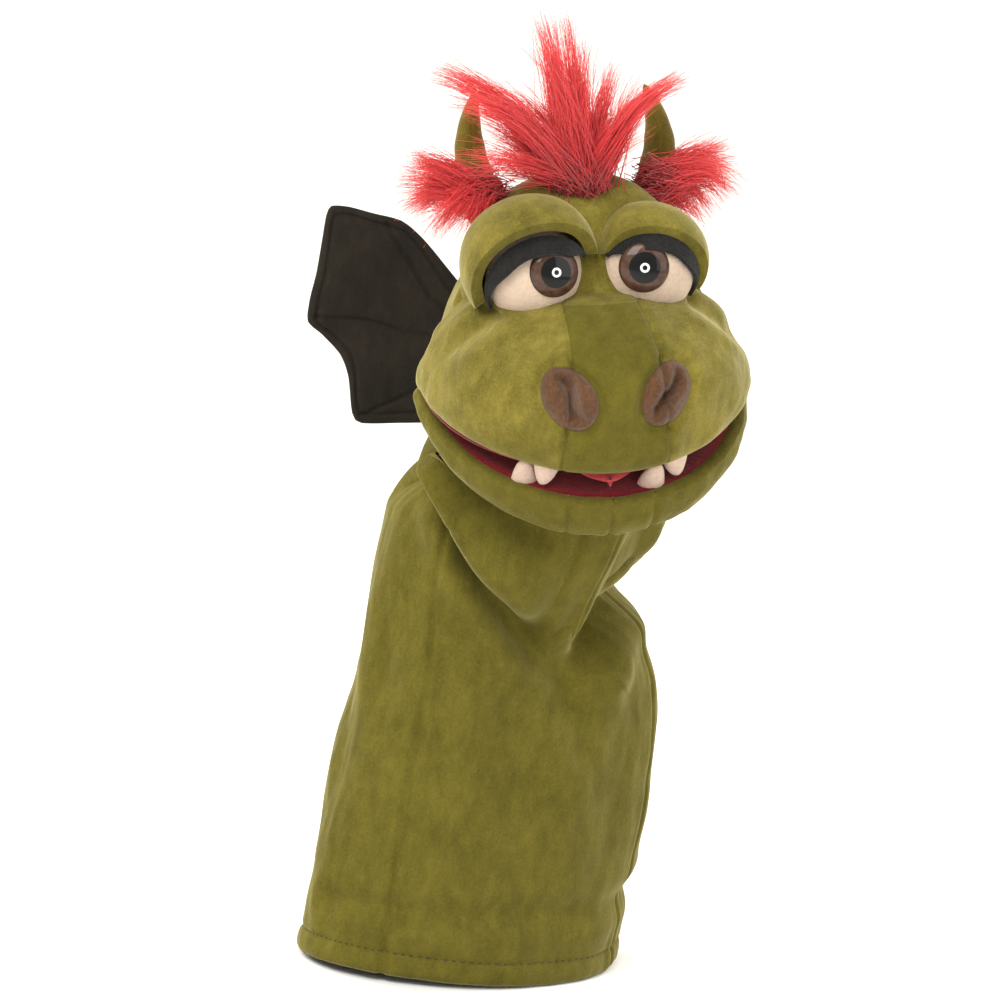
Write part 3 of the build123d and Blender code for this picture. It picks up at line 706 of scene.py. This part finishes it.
def mouth_sheet(half_width, reach_out, level, dip):
    """A half oval across the mouth, dished a little, in the frame of its half of the mouth."""

    def surface(u, v):
        turn = math.pi * (u - 0.5)
        out = max(v, 0.001)
        height = level + dip * (1 - out * out) * math.cos(turn)
        return Vector((half_width * out * math.sin(turn), -reach_out * out * math.cos(turn), height))

    return laid_form(96, 40, surface)


def make_mouth():
    for name, form, body, half, place in (
        ("mouth_roof", mouth_sheet(64, 62, 1.2, 1.6), "head", "upper", UPPER),
        ("mouth_floor", mouth_sheet(61, 64, -1.6, -1.0), "jaw", "lower", LOWER),
    ):
        nodes = [f"{half}_lining", f"{half}_mouth_board"]
        sheet = piece(name, form, LINING, body, nodes, place)
        thicken(sheet, MOUTH_BOARD)


# ---- jaw -------------------------------------------------------------------------------
JAW_WIDE, JAW_LONG = 66.5, 70.0
JAW_SWEEP = 194  # degrees from ear to ear
LIP_SHARE, CHIN_SHARE = 0.3, 0.68  # where the rolled lip and the chin end, from 0 to 1
CHIN_SEAMS = (-17.0, 0.0, 17.0)


def jaw_surface(u, v):
    """From the lining over the rolled lip, down the chin and under it, ear to ear."""
    turn = math.radians(JAW_SWEEP) * (u - 0.5)
    front = max(math.cos(turn), 0.0)
    band = 6.5 + 10.5 * front**1.2
    x_out, y_out = math.sin(turn), -math.cos(turn)
    if v < LIP_SHARE:
        roll = v / LIP_SHARE * math.pi * 0.75
        inset = 3.5 + 3.8 * math.cos(roll)
        level = 2.9 * math.sin(roll) - 2.8
    elif v < CHIN_SHARE:
        t = (v - LIP_SHARE) / (CHIN_SHARE - LIP_SHARE)
        inset = 0.8 - 1.6 * math.sin(math.pi * t) + 0.6 * t
        level = -0.75 - (band - 0.75) * t
    else:
        t = (v - CHIN_SHARE) / (1 - CHIN_SHARE)
        inset = 1.4 + 34 * t**0.9
        level = -band - 1.5 * smoothstep(0, 0.12, t) - 5.0 * t
    x = (JAW_WIDE - inset) * x_out
    y = (JAW_LONG - inset) * y_out if y_out < 0 else 30 * y_out
    if v > 0.2:
        for seam in CHIN_SEAMS:
            gap = abs(x - seam)
            depth = 1.1 * bump(gap, 1.0) - 0.45 * bump(gap - 3.0, 2.2)
            x -= x_out * depth * front
            y -= y_out * depth * front
    place = Vector((x, y, level))
    rough = 0.8 * noise.noise(place / 14) + 0.3 * noise.noise(place / 5)
    return place + Vector((x_out, y_out, 0)) * rough


def make_jaw():
    panels = ["chin_panel_left", "chin_panel_right", "jaw_panel_left", "jaw_panel_right"]
    form = laid_form(260, 90, jaw_surface, (0, -20, -10))
    skin = piece("jaw_skin", form, GREEN, "jaw", panels, LOWER)
    thicken(skin, FACE_CLOTH)


THROAT_FOOT = (  # turn round the jaw, then degrees round the sleeve and height
    (-97, -200, 222),
    (-78, -170, 212),
    (-58, -150, 194),
    (-36, -130, 172),
    (-17, -110, 156),
    (0, -98, 145),
    (14, -86, 131),
    (30, -79, 141),
    (46, -69, 154),
    (62, -49, 163),
    (80, -30, 182),
    (97, 0, 206),
)


def throat_surface(u, v):
    """Slack cloth from under the chin that hangs forward and tucks into the sleeve's fold."""
    turn = JAW_SWEEP * (u - 0.5)
    degrees, height = along(THROAT_FOOT, turn)
    tucked = smoothstep(76, 96, abs(turn))
    foot = sleeve_place(degrees, height, 3.0 + 7 * tucked)
    under = HEAD.inverted() @ LOWER
    top = jaw_surface(u, 0.84 + 0.1 * tucked)
    top = Vector((top.x * (1 - 0.1 * tucked), top.y, top.z))
    top = (HEAD @ (under @ (top * MM))) / MM
    middle = (top + foot) / 2
    out = Vector((middle.x + 4, middle.y - 8, 0)).normalized()
    ahead = max(math.cos(math.radians(turn)), 0)
    left = smoothstep(30, -20, turn)
    loose = (1 - tucked) * (1 - 0.85 * bump(turn - 12, 16))
    overhang = math.sin(math.pi * v**2.4) * (5.0 + 8.0 * left) * loose
    hollow = -3.0 * bump(v - 0.2, 0.16) * ahead
    sag = -math.sin(math.pi * v**2.2) * (3.0 + 7.0 * left) * loose
    pleat = 2.6 * math.sin(v * math.pi) * math.sin(math.radians(turn) * 2.4 + 4.2 * v + 0.8)
    pleat += 2.0 * noise.noise(Vector((turn / 24, v * 2.2, 1.7))) * math.sin(v * math.pi)
    return top.lerp(foot, v) + out * (overhang + hollow + pleat) + Vector((0, 0, sag))


def make_throat():
    form = laid_form(220, 110, throat_surface, (0, 0, 170))
    skin = piece("throat_cloth", form, GREEN, stands_for=["throat_skin"])
    thicken(skin, THROAT_CLOTH)
    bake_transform(skin)


# ---- tongue and fangs ------------------------------------------------------------------
TONGUE_HALF_WIDTH = 16.0
TONGUE_ROOT, TONGUE_LENGTH = -12, 47.0


def make_tongue():
    """A flat felt tongue with a crease down its middle, humped halfway."""

    def surface(u, v):
        x, y = 2 * u - 1, 2 * v - 1
        half = TONGUE_HALF_WIDTH * max(1 - ((y + 1) / 2) ** 6, 0) ** 0.75
        hump = 4.2 * smoothstep(1.1, -0.2, y) * smoothstep(-1.0, -0.2, y)
        height = 1.8 + 1.2 * (1 - x * x) - 0.6 * bump(x, 0.14) + hump
        return Vector((x * half, TONGUE_ROOT - TONGUE_LENGTH / 2 * (y + 1), height))

    form = laid_form(40, 60, surface)
    bmesh.ops.solidify(form, geom=form.faces, thickness=1.2 * MM)
    bmesh.ops.recalc_face_normals(form, faces=form.faces)
    piece("tongue_felt", form, TONGUE, "tongue", ["tongue"], LOWER)


FANG_ROW = 60  # how far from the middle of the fold the fangs stand
FANG_ROOT = 2.5  # how far a fang goes into its lip


def make_fangs():
    """Stuffed felt fangs, blunt and a little bent, standing on the lips."""
    for label, side in SIDES:
        for row, angle, length, place, body, flip in (
            ("upper", 25 if side > 0 else 24, 11.5, UPPER, "head", -1),
            ("lower", 16 if side > 0 else 32, 12.5, LOWER, "jaw", 1),
        ):
            turn = math.radians(angle) * side
            x, y = FANG_ROW * math.sin(turn), -FANG_ROW * math.cos(turn)

            def surface(u, v, length=length, flip=flip, x=x, y=y, side=side):
                around_it = 2 * math.pi * u
                slim = math.sqrt(max(1 - v**2.6, 0.0)) * (1 - 0.25 * v)
                lean = 1.5 * v * v
                return Vector((
                    x + 5.6 * slim * math.cos(around_it) + side * lean,
                    y + 3.6 * slim * math.sin(around_it) - 1.2 * v,
                    flip * (length * v - FANG_ROOT),
                ))

            form = laid_form(28, 22, surface)
            nodes = [f"{row}_fang_{label}"]
            piece(f"{row}_fang_felt_{label}", form, FANG, body, nodes, place)


# ---- eyes ------------------------------------------------------------------------------
EYE_AT = Vector((22.5, -24.0, 47.5))
EYE_SIZE = Vector((19.0, 18.0, 20.0))
GAZE = (17.6, 49.0)  # where the iris sits: across and up
LID_LEAN = (0.113, 0.852, 0.513)  # from the eye towards the back of its lid
LASH_TURNS = (-62, 118)
IRIS_RADIUS, IRIS_RISE = 9.8, 3.6


def eye_centre(side):
    return Vector((side * EYE_AT.x, EYE_AT.y, EYE_AT.z))


def make_eyeball(label, side):
    form = bmesh.new()
    shape = Matrix.Translation(eye_centre(side) * MM) @ Matrix.Diagonal((*EYE_SIZE, 1))
    bmesh.ops.create_uvsphere(form, u_segments=72, v_segments=48, radius=MM, matrix=shape)
    nodes = [f"eye_white_{label}"]
    white = piece(f"eye_felt_{label}", form, EYE_WHITE, "head", nodes, HEAD)


def lid_frame(side):
    """The eye's middle, with Z towards the back of the lid and X towards its upper rim."""
    axis = Vector((side * LID_LEAN[0], LID_LEAN[1], LID_LEAN[2])).normalized()
    rim = Vector((0, -LID_LEAN[2], LID_LEAN[1]))
    rim = (rim - axis * rim.dot(axis)).normalized()
    outer = axis.cross(rim) * (1 if axis.cross(rim).x * side > 0 else -1)
    turned = Matrix((rim, outer, axis)).transposed().to_4x4()
    return Matrix.Translation(eye_centre(side) * MM) @ turned


def lid_band(grown, low, high, side, turns=(-180, 180)):
    """A band of a ball round the eye, from one height along the lid's axis to another or its top."""

    def surface(u, v):
        turn = turns[0] + (turns[1] - turns[0]) * u
        size = (EYE_SIZE.x + EYE_SIZE.y + EYE_SIZE.z) / 3 + grown(turn)
        bottom = low(turn)
        top = size - 0.02 if high is None else high
        height = bottom + (top - bottom) * v
        ring = math.sqrt(max(size * size - height * height, 0.0))
        return Vector((ring * math.cos(math.radians(turn)), ring * math.sin(math.radians(turn)), height))

    form = laid_form(110, 36, surface)
    form.transform(lid_frame(side))
    return form


def rim_height(turn):
    """Where the lid's rim lies: over the eye and down its outer side, and drawn back elsewhere."""
    inner = smoothstep(-55, -100, turn)
    under = smoothstep(100, 145, turn)
    return -7.0 + 19.0 * max(inner, under)


def lid_padding(turn):
    """The lid is padded over the eye and its outer side, and flat where it nears the bridge."""
    return 1.2 + 5.2 * smoothstep(-85, -20, turn) * smoothstep(150, 50, turn)


def lash_low(turn):
    """The lash strip hangs lowest over the middle of the eye."""
    return -6.8 - 5.4 * smoothstep(-62, -30, turn) * smoothstep(118, 50, turn)


def make_lid(label, side):
    form = lid_band(lid_padding, rim_height, None, side)
    nodes = [f"eyelid_{label}"]
    # The lid takes the lighter face velour, which is painted light.
    lid = piece(f"eyelid_pad_{label}", form, LIT_FACE_GREEN, "head", nodes, HEAD)
    thicken(lid, LID_PAD)
    rounding = lid.modifiers.new("soft_rim", "BEVEL")
    rounding.width = 2.0 * MM
    rounding.segments = 4
    rounding.limit_method = "ANGLE"


def make_lash(label, side):
    form = lid_band(lambda turn: 1.9, lash_low, -5.5, side, LASH_TURNS)
    nodes = [f"lash_strip_{label}"]
    lash = piece(f"lash_felt_{label}", form, LASH, "head", nodes, HEAD)
    thicken(lash, LASH_FELT)


def make_iris(label, side):
    """A low dome seated on the eyeball, with its distance from the middle as its U."""
    centre = eye_centre(side)
    across, up = side * GAZE[0], GAZE[1]
    dx, dz = (across - centre.x) / EYE_SIZE.x, (up - centre.z) / EYE_SIZE.z
    dy = math.sqrt(1 - dx * dx - dz * dz)
    facing = Vector((dx / EYE_SIZE.x, -dy / EYE_SIZE.y, dz / EYE_SIZE.z)).normalized()
    facing = (facing + Vector((0, -1.2, 0))).normalized()
    seat = Vector((across, EYE_AT.y - EYE_SIZE.y * dy + 0.6, up))
    place = Matrix.Translation(seat * MM) @ facing.to_track_quat("Z", "Y").to_matrix().to_4x4()

    def dome(u, v):
        turn, out = 2 * math.pi * u, IRIS_RADIUS * math.sin(v * math.pi / 2)
        height = IRIS_RISE * math.cos(v * math.pi / 2) - 0.6
        return Vector((out * math.cos(turn), out * math.sin(turn), height))

    form = laid_form(64, 30, dome, (0, 0, -10))
    spread = form.loops.layers.uv.new("UVMap")
    for face in form.faces:
        for corner in face.loops:
            away = math.hypot(corner.vert.co.x, corner.vert.co.y) / (IRIS_RADIUS * MM)
            corner[spread].uv = (away, 0.5)
    nodes = [f"eye_dome_{label}"]
    piece(f"eye_button_{label}", form, IRIS_PAINTED_HIGHLIGHT, "head", nodes, HEAD @ place)


def make_eyes():
    for label, side in SIDES:
        make_eyeball(label, side)
        make_lid(label, side)
        make_lash(label, side)
        make_iris(label, side)


# ---- nostrils, horns -------------------------------------------------------------------
def make_nostrils():
    """Oval felt pads sunk into the nose, each folded into a deep slit."""
    for label, side in SIDES:

        def surface(u, v, side=side):
            turn = 2 * math.pi * u
            a = 0.97 * NOSTRIL_SIZE[0] * v * math.cos(turn)
            b = 0.97 * NOSTRIL_SIZE[1] * v * math.sin(turn)
            lean = NOSTRIL_TILT * side
            x = side * NOSTRIL_AT[0] + a * math.cos(lean) + b * math.sin(lean)
            z = NOSTRIL_AT[1] - a * math.sin(lean) + b * math.cos(lean)
            base = head_place(math.atan2(x, 66.0), z, False, False)
            pad = 2.4 * math.sqrt(max(1 - v**6, 0)) - 2.2
            from_slit = a - 1.5 * math.sin(b / 3.6)
            valley = 5.0 * bump(from_slit, 2.1) * smoothstep(12.0, 5.5, abs(b))
            fold = bump(from_slit - 4.2, 1.8) * smoothstep(11, 5, abs(b))
            return Vector((x, base.y - pad + valley - fold, z))

        form = laid_form(80, 60, surface, (0, 0, 0))
        nodes = [f"nostril_{label}"]
        # The darkened felt is painted shade of the sunken nostril.
        piece(f"nostril_felt_{label}", form, NOSTRIL_FELT_PAINTED_SHADE, "head", nodes, HEAD)


HORN_RADIUS = 10.8
HORN_FOOT, HORN_TALL = 64, 51.5


def make_horns():
    """Two stuffed horns that bow outwards, each with a seam down its front and back."""
    for label, side in SIDES:

        def surface(u, t, side=side):
            turn = 2 * math.pi * u
            thick = HORN_RADIUS * math.sqrt(max(1 - t**2.6, 0)) * (1 - 0.45 * t)
            seam = 0.06 * bump((turn % math.pi) - math.pi / 2, 0.09)
            ridge = 1 + 0.05 * math.sin(t * 34) * (1 - t) - seam
            across = 30.5 + 9 * math.sin(t * math.pi * 0.75) - 2.5 * t * t
            back = 14 + 9 * t * t
            height = HORN_FOOT + HORN_TALL * t
            centre = Vector((side * across, back, height))
            return centre + Vector((math.cos(turn) * 0.86, math.sin(turn), 0)) * thick * ridge

        form = laid_form(64, 70, surface, (side * 34, 16, 85))
        piece(f"horn_plush_{label}", form, OLIVE, "head", [f"horn_{label}"], HEAD)


# ---- wings -----------------------------------------------------------------------------
WING_EDGE = (  # across and up from the wing's hinge
    (0, -27), (0, -8), (0, 10), (11, 23), (22, 37), (34, 52), (42, 59), (54, 62.5), (64, 65.5), (71, 66),
    (73.5, 62), (76, 50), (78.5, 38), (82, 26), (83, 17.5), (77, 11.5), (70, 3), (67, -6), (66, -22),
    (62, -26.5), (44, -27), (22, -27),
)
WING_RIBS = (
    ((6, 4), (42, 12), (57, 17.4), (79, 19.5)),
    ((6, 4), (30, 26), (48, 58)),
    ((6, 0), (30, -10), (62, -23)),
)
WING_MIDDLE = (36, 18)
WING_SWEEPS = {"left": 48, "right": 18}
WING_HALF_THICK = 2.5
TOPSTITCH_DEPTH = 1.1


def wing_rim(share):
    """A place on the wing's outline, a share of the way round it, with its corners softened."""
    count = len(WING_EDGE)
    at = share * count
    i = int(at) % count
    t = at - int(at)
    before, start, end, after = (WING_EDGE[(i + k - 1) % count] for k in range(4))
    soft = 0.35
    place = []
    for k in (0, 1):
        bow = (start[k] - before[k]) * (1 - t) - (after[k] - end[k]) * t
        place.append(start[k] + (end[k] - start[k]) * t + soft * t * (1 - t) * bow)
    return place


def wing_surface(u, v, side):
    """Round the outline, from the middle of the back face over the edge to the front one's."""
    rim = wing_rim(u)
    out = math.sin((1 - abs(2 * v - 1)) * math.pi / 2)
    x, z = (WING_MIDDLE[k] + (rim[k] - WING_MIDDLE[k]) * out for k in (0, 1))
    from_edge = (1 - out) * math.hypot(rim[0] - WING_MIDDLE[0], rim[1] - WING_MIDDLE[1])
    thick = WING_HALF_THICK * math.sqrt(max(1 - out**14, 0))
    thick -= TOPSTITCH_DEPTH * bump(from_edge - 4.5, 0.9)
    for rib in WING_RIBS:
        distance, _ = gap_to(rib, x, z)
        thick -= TOPSTITCH_DEPTH * bump(distance, 1.0)
    wave = 2.2 * math.sin(x / 19) + 1.2 * noise.noise(Vector((x / 22, z / 22, 3 + side)))
    return Vector((side * x, wave + (thick if v < 0.5 else -thick), z))


def make_wings():
    """Two quilted wings with a topstitched border and ribs."""
    for label, side in SIDES:
        hinge = HEAD.inverted() @ Vector(JOINTS[f"wing_flap_{label}"]["pos_m"])
        sweep = math.radians(side * WING_SWEEPS[label])
        place = HEAD @ Matrix.Translation(hinge) @ Matrix.Rotation(sweep, 4, "Z")
        form = laid_form(360, 120, lambda u, v, side=side: wing_surface(u, v, side))
        nodes = [f"wing_{label}", f"wing_batting_{label}"]
        wing = piece(f"wing_plush_{label}", form, WING, f"wing_{label}", nodes, place)


# ---- fur -------------------------------------------------------------------------------
HAIR_RADIUS = 0.17
FRIZZ = 2.0


def fur_piece(name, strands, nodes):
    """Many thin tapering strands as one mesh. A strand is a list of places in millimetres."""
    lines = bpy.data.curves.new(name + "_lines", "CURVE")
    lines.dimensions = "3D"
    lines.bevel_depth = HAIR_RADIUS * MM
    lines.bevel_resolution = 0
    lines.resolution_u = 1
    for strand in strands:
        spline = lines.splines.new("POLY")
        spline.points.add(len(strand) - 1)
        last = len(strand) - 1
        for i, place in enumerate(strand):
            spline.points[i].co = (*(place * MM), 1)
            spline.points[i].radius = 1.15 - 0.95 * i / last
    holder = bpy.data.objects.new(name + "_lines", lines)
    bpy.context.scene.collection.objects.link(holder)
    bpy.context.view_layer.update()
    graph = bpy.context.evaluated_depsgraph_get()
    mesh = bpy.data.meshes.new_from_object(holder.evaluated_get(graph))
    bpy.data.objects.remove(holder)
    form = bmesh.new()
    form.from_mesh(mesh)
    bpy.data.meshes.remove(mesh)
    piece(name, form, FUR_PAINTED_SHADE_AND_LIGHT, "head", nodes, HEAD)


def lock_strands(chance, root, locks, spread, fan):
    """Strands that leave one patch in locks; each lock fans a little and ends near its tip."""

    def scatter(*spreads):
        return Vector([chance.gauss(0, width) for width in spreads])

    strands = []
    for tip, count, loose in locks:
        tip = Vector(tip) + Vector((0, chance.uniform(-14, 12) * fan, 0))
        foot = Vector(root) + scatter(*(width * 0.6 for width in spread))
        bend = scatter(FRIZZ, FRIZZ, FRIZZ) + Vector((0, 0, (tip - foot).length * 0.07))
        for _ in range(count):
            start = foot + scatter(*spread)
            share = 0.42 + 0.6 * chance.random() ** 0.6
            end = tip + scatter(loose, loose, loose)
            own = bend + scatter(FRIZZ / 2, FRIZZ / 2, FRIZZ / 2)
            strand = []
            for i in range(6):
                t = share * i / 5
                droop = Vector((0, 0, 2.0 * t**3))
                strand.append(start.lerp(end, t) + own * math.sin(t * math.pi) - droop)
            strands.append(strand)
    return strands


FORELOCK = (  # where a lock ends, how many strands, how loose
    ((-12, 0, 146), 330, 2.6), ((-3, 2, 148), 170, 2.4), ((-20, 2, 136), 60, 2.6),
    ((6, 2, 136), 170, 3.0), ((-55, 0, 128), 340, 3.2), ((-48, -4, 117), 300, 3.6),
    ((-34, -4, 104), 220, 5.0), ((-28, 4, 118), 120, 5.0), ((-44, -10, 92), 200, 5.0),
    ((-28, -13, 89), 180, 5.0), ((20, 0, 127), 190, 2.6), ((28, 0, 120), 90, 2.8),
    ((45, -2, 121), 300, 2.4), ((26, -8, 100), 150, 3.4), ((-8, -8, 112), 300, 6.0),
    ((8, -6, 110), 200, 5.0),
)
TEMPLE_TUFT = (
    ((65, 8, 93), 260, 3.0), ((68, 8, 84), 300, 3.2), ((65, 8, 73), 300, 3.4),
    ((58, 4, 64), 260, 3.4), ((48, -2, 64), 160, 4.0), ((52, 2, 80), 420, 5.5),
)
MANE_HAIRS = 3400


def mane_strands(chance):
    """Short hairs down the back of the head, each drooping to its tip."""
    strands = []
    for _ in range(MANE_HAIRS):
        height = chance.uniform(-26, 80)
        across = chance.gauss(0, 3.6)
        start = head_place(math.pi - across / 60, height, False)
        out = Vector((chance.gauss(across / 12, 0.22), 1.0, chance.gauss(0.1, 0.4))).normalized()
        length = chance.uniform(9, 17)
        droop = Vector((0, 0, -4.5))
        strands.append([start + out * length * t + droop * t * t for t in (0, 0.25, 0.5, 0.75, 1)])
    return strands


def make_fur():
    chance = random.Random(11)
    strands = lock_strands(chance, (1.5, -9, 77), FORELOCK, (3.6, 3.4, 1.6), 1.0)
    fur_piece("forelock_fur", strands, ["forelock"])
    for label, side in SIDES:
        locks = [((side * x, y, z), count, loose) for (x, y, z), count, loose in TEMPLE_TUFT]
        strands = lock_strands(chance, (side * 32, 6, 77), locks, (3.2, 4.0, 3.6), 0.8)
        fur_piece(f"temple_fur_{label}", strands, [f"temple_tuft_{label}"])
    fur_piece("mane_fur", mane_strands(chance), ["mane"])


# ---- what is out of sight --------------------------------------------------------------
def dress_inner_pieces():
    """The pockets and washers inside keep their plain form and take a plain cloth or plastic."""
    white = Finish("washer_plastic", roughness=0.45).material
    for node, thing in frame["nodes"].items():
        if "pocket" in node:
            finish = POCKET
        elif "washer" in node:
            finish = white
        else:
            continue
        thing.data.materials.clear()
        thing.data.materials.append(finish)


# ---- stage -----------------------------------------------------------------------------
VIEW_TURN = math.radians(-35)


def make_floor():
    """A pale sheet of paper that rises behind, square to the camera."""
    finish = Finish("paper", roughness=0.9)
    tone = finish.noise(3.0)
    stops = ((0.2, (0.90, 0.90, 0.90)), (0.8, (0.93, 0.93, 0.93)))
    finish.wear("Base Color", finish.ramp(tone, *stops))
    bend_at, tall = 1400, 2600

    def sweep(u, v):
        depth = -3000 + 7000 * v
        past = max(depth - bend_at, 0)
        back = min(depth, bend_at + 1400 * smoothstep(0, tall, past))
        height = -2 + tall * smoothstep(200, tall, past) * past / 1600
        return Vector(((u - 0.5) * 9000, back, height))

    form = laid_form(12, 60, sweep)
    form.transform(Matrix.Rotation(VIEW_TURN, 4, "Z"))
    placed("paper_sweep", form, finish.material)


LAMPS = (  # name, azimuth and height in degrees, distance and width in metres, power, colour
    ("key", -62, 42, 1.6, 1.0, 26, (1.0, 0.97, 0.92)),
    ("fill", 20, 20, 1.8, 1.4, 10, (1.0, 0.98, 0.95)),
    ("rim_left", -150, 25, 1.5, 0.9, 22, (1.0, 0.93, 0.8)),
    ("rim_right", 95, 25, 1.5, 0.9, 20, (1.0, 0.93, 0.8)),
)


def make_lamps():
    world = bpy.data.worlds.new("studio")
    world.use_nodes = True
    background = world.node_tree.nodes["Background"]
    background.inputs["Color"].default_value = (1.0, 0.99, 0.97, 1)
    background.inputs["Strength"].default_value = 0.62
    bpy.context.scene.world = world
    middle = Vector((0, 0, 0.2))
    for name, azimuth, elevation, distance, size, power, colour in LAMPS:
        lamp = bpy.data.lights.new(name, "AREA")
        lamp.energy, lamp.size, lamp.color = power, size, colour
        a, e = math.radians(azimuth), math.radians(elevation)
        out = Vector((math.sin(a) * math.cos(e), -math.cos(a) * math.cos(e), math.sin(e)))
        holder = bpy.data.objects.new(name, lamp)
        holder.location = middle + out * distance
        holder.rotation_euler = (-out).to_track_quat("-Z", "Y").to_euler()
        bpy.context.scene.collection.objects.link(holder)


def make_camera():
    """A long lens, turned to the left, raised and leaning, with the hem low in its view."""
    view = bpy.data.cameras.new("camera")
    view.lens = 120
    view.sensor_width = 36
    view.clip_end = 50
    turn, lift, lean = VIEW_TURN, math.radians(8), math.radians(8.5)
    back = Vector((math.sin(turn) * math.cos(lift), -math.cos(turn) * math.cos(lift), math.sin(lift)))
    level = Vector((math.cos(turn), math.sin(turn), 0))
    right = level * math.cos(lean) + back.cross(level) * math.sin(lean)
    up = back.cross(right)
    distance = 1.4
    hem_across, hem_down = -0.0172, -0.1894
    place = back * distance - right * hem_across - up * hem_down
    camera = bpy.data.objects.new("camera", view)
    turned = Matrix((right, up, back)).transposed().to_4x4()
    camera.matrix_world = Matrix.Translation(place) @ turned
    bpy.context.scene.collection.objects.link(camera)
    bpy.context.scene.camera = camera


make_sleeve()
make_hem_stitches()
make_head()
make_fillings()
make_mouth()
make_jaw()
make_throat()
make_tongue()
make_fangs()
make_eyes()
make_nostrils()
make_horns()
make_wings()
make_fur()
dress_inner_pieces()
make_floor()
make_lamps()
make_camera()
bpy.context.scene.view_settings.view_transform = "Standard"
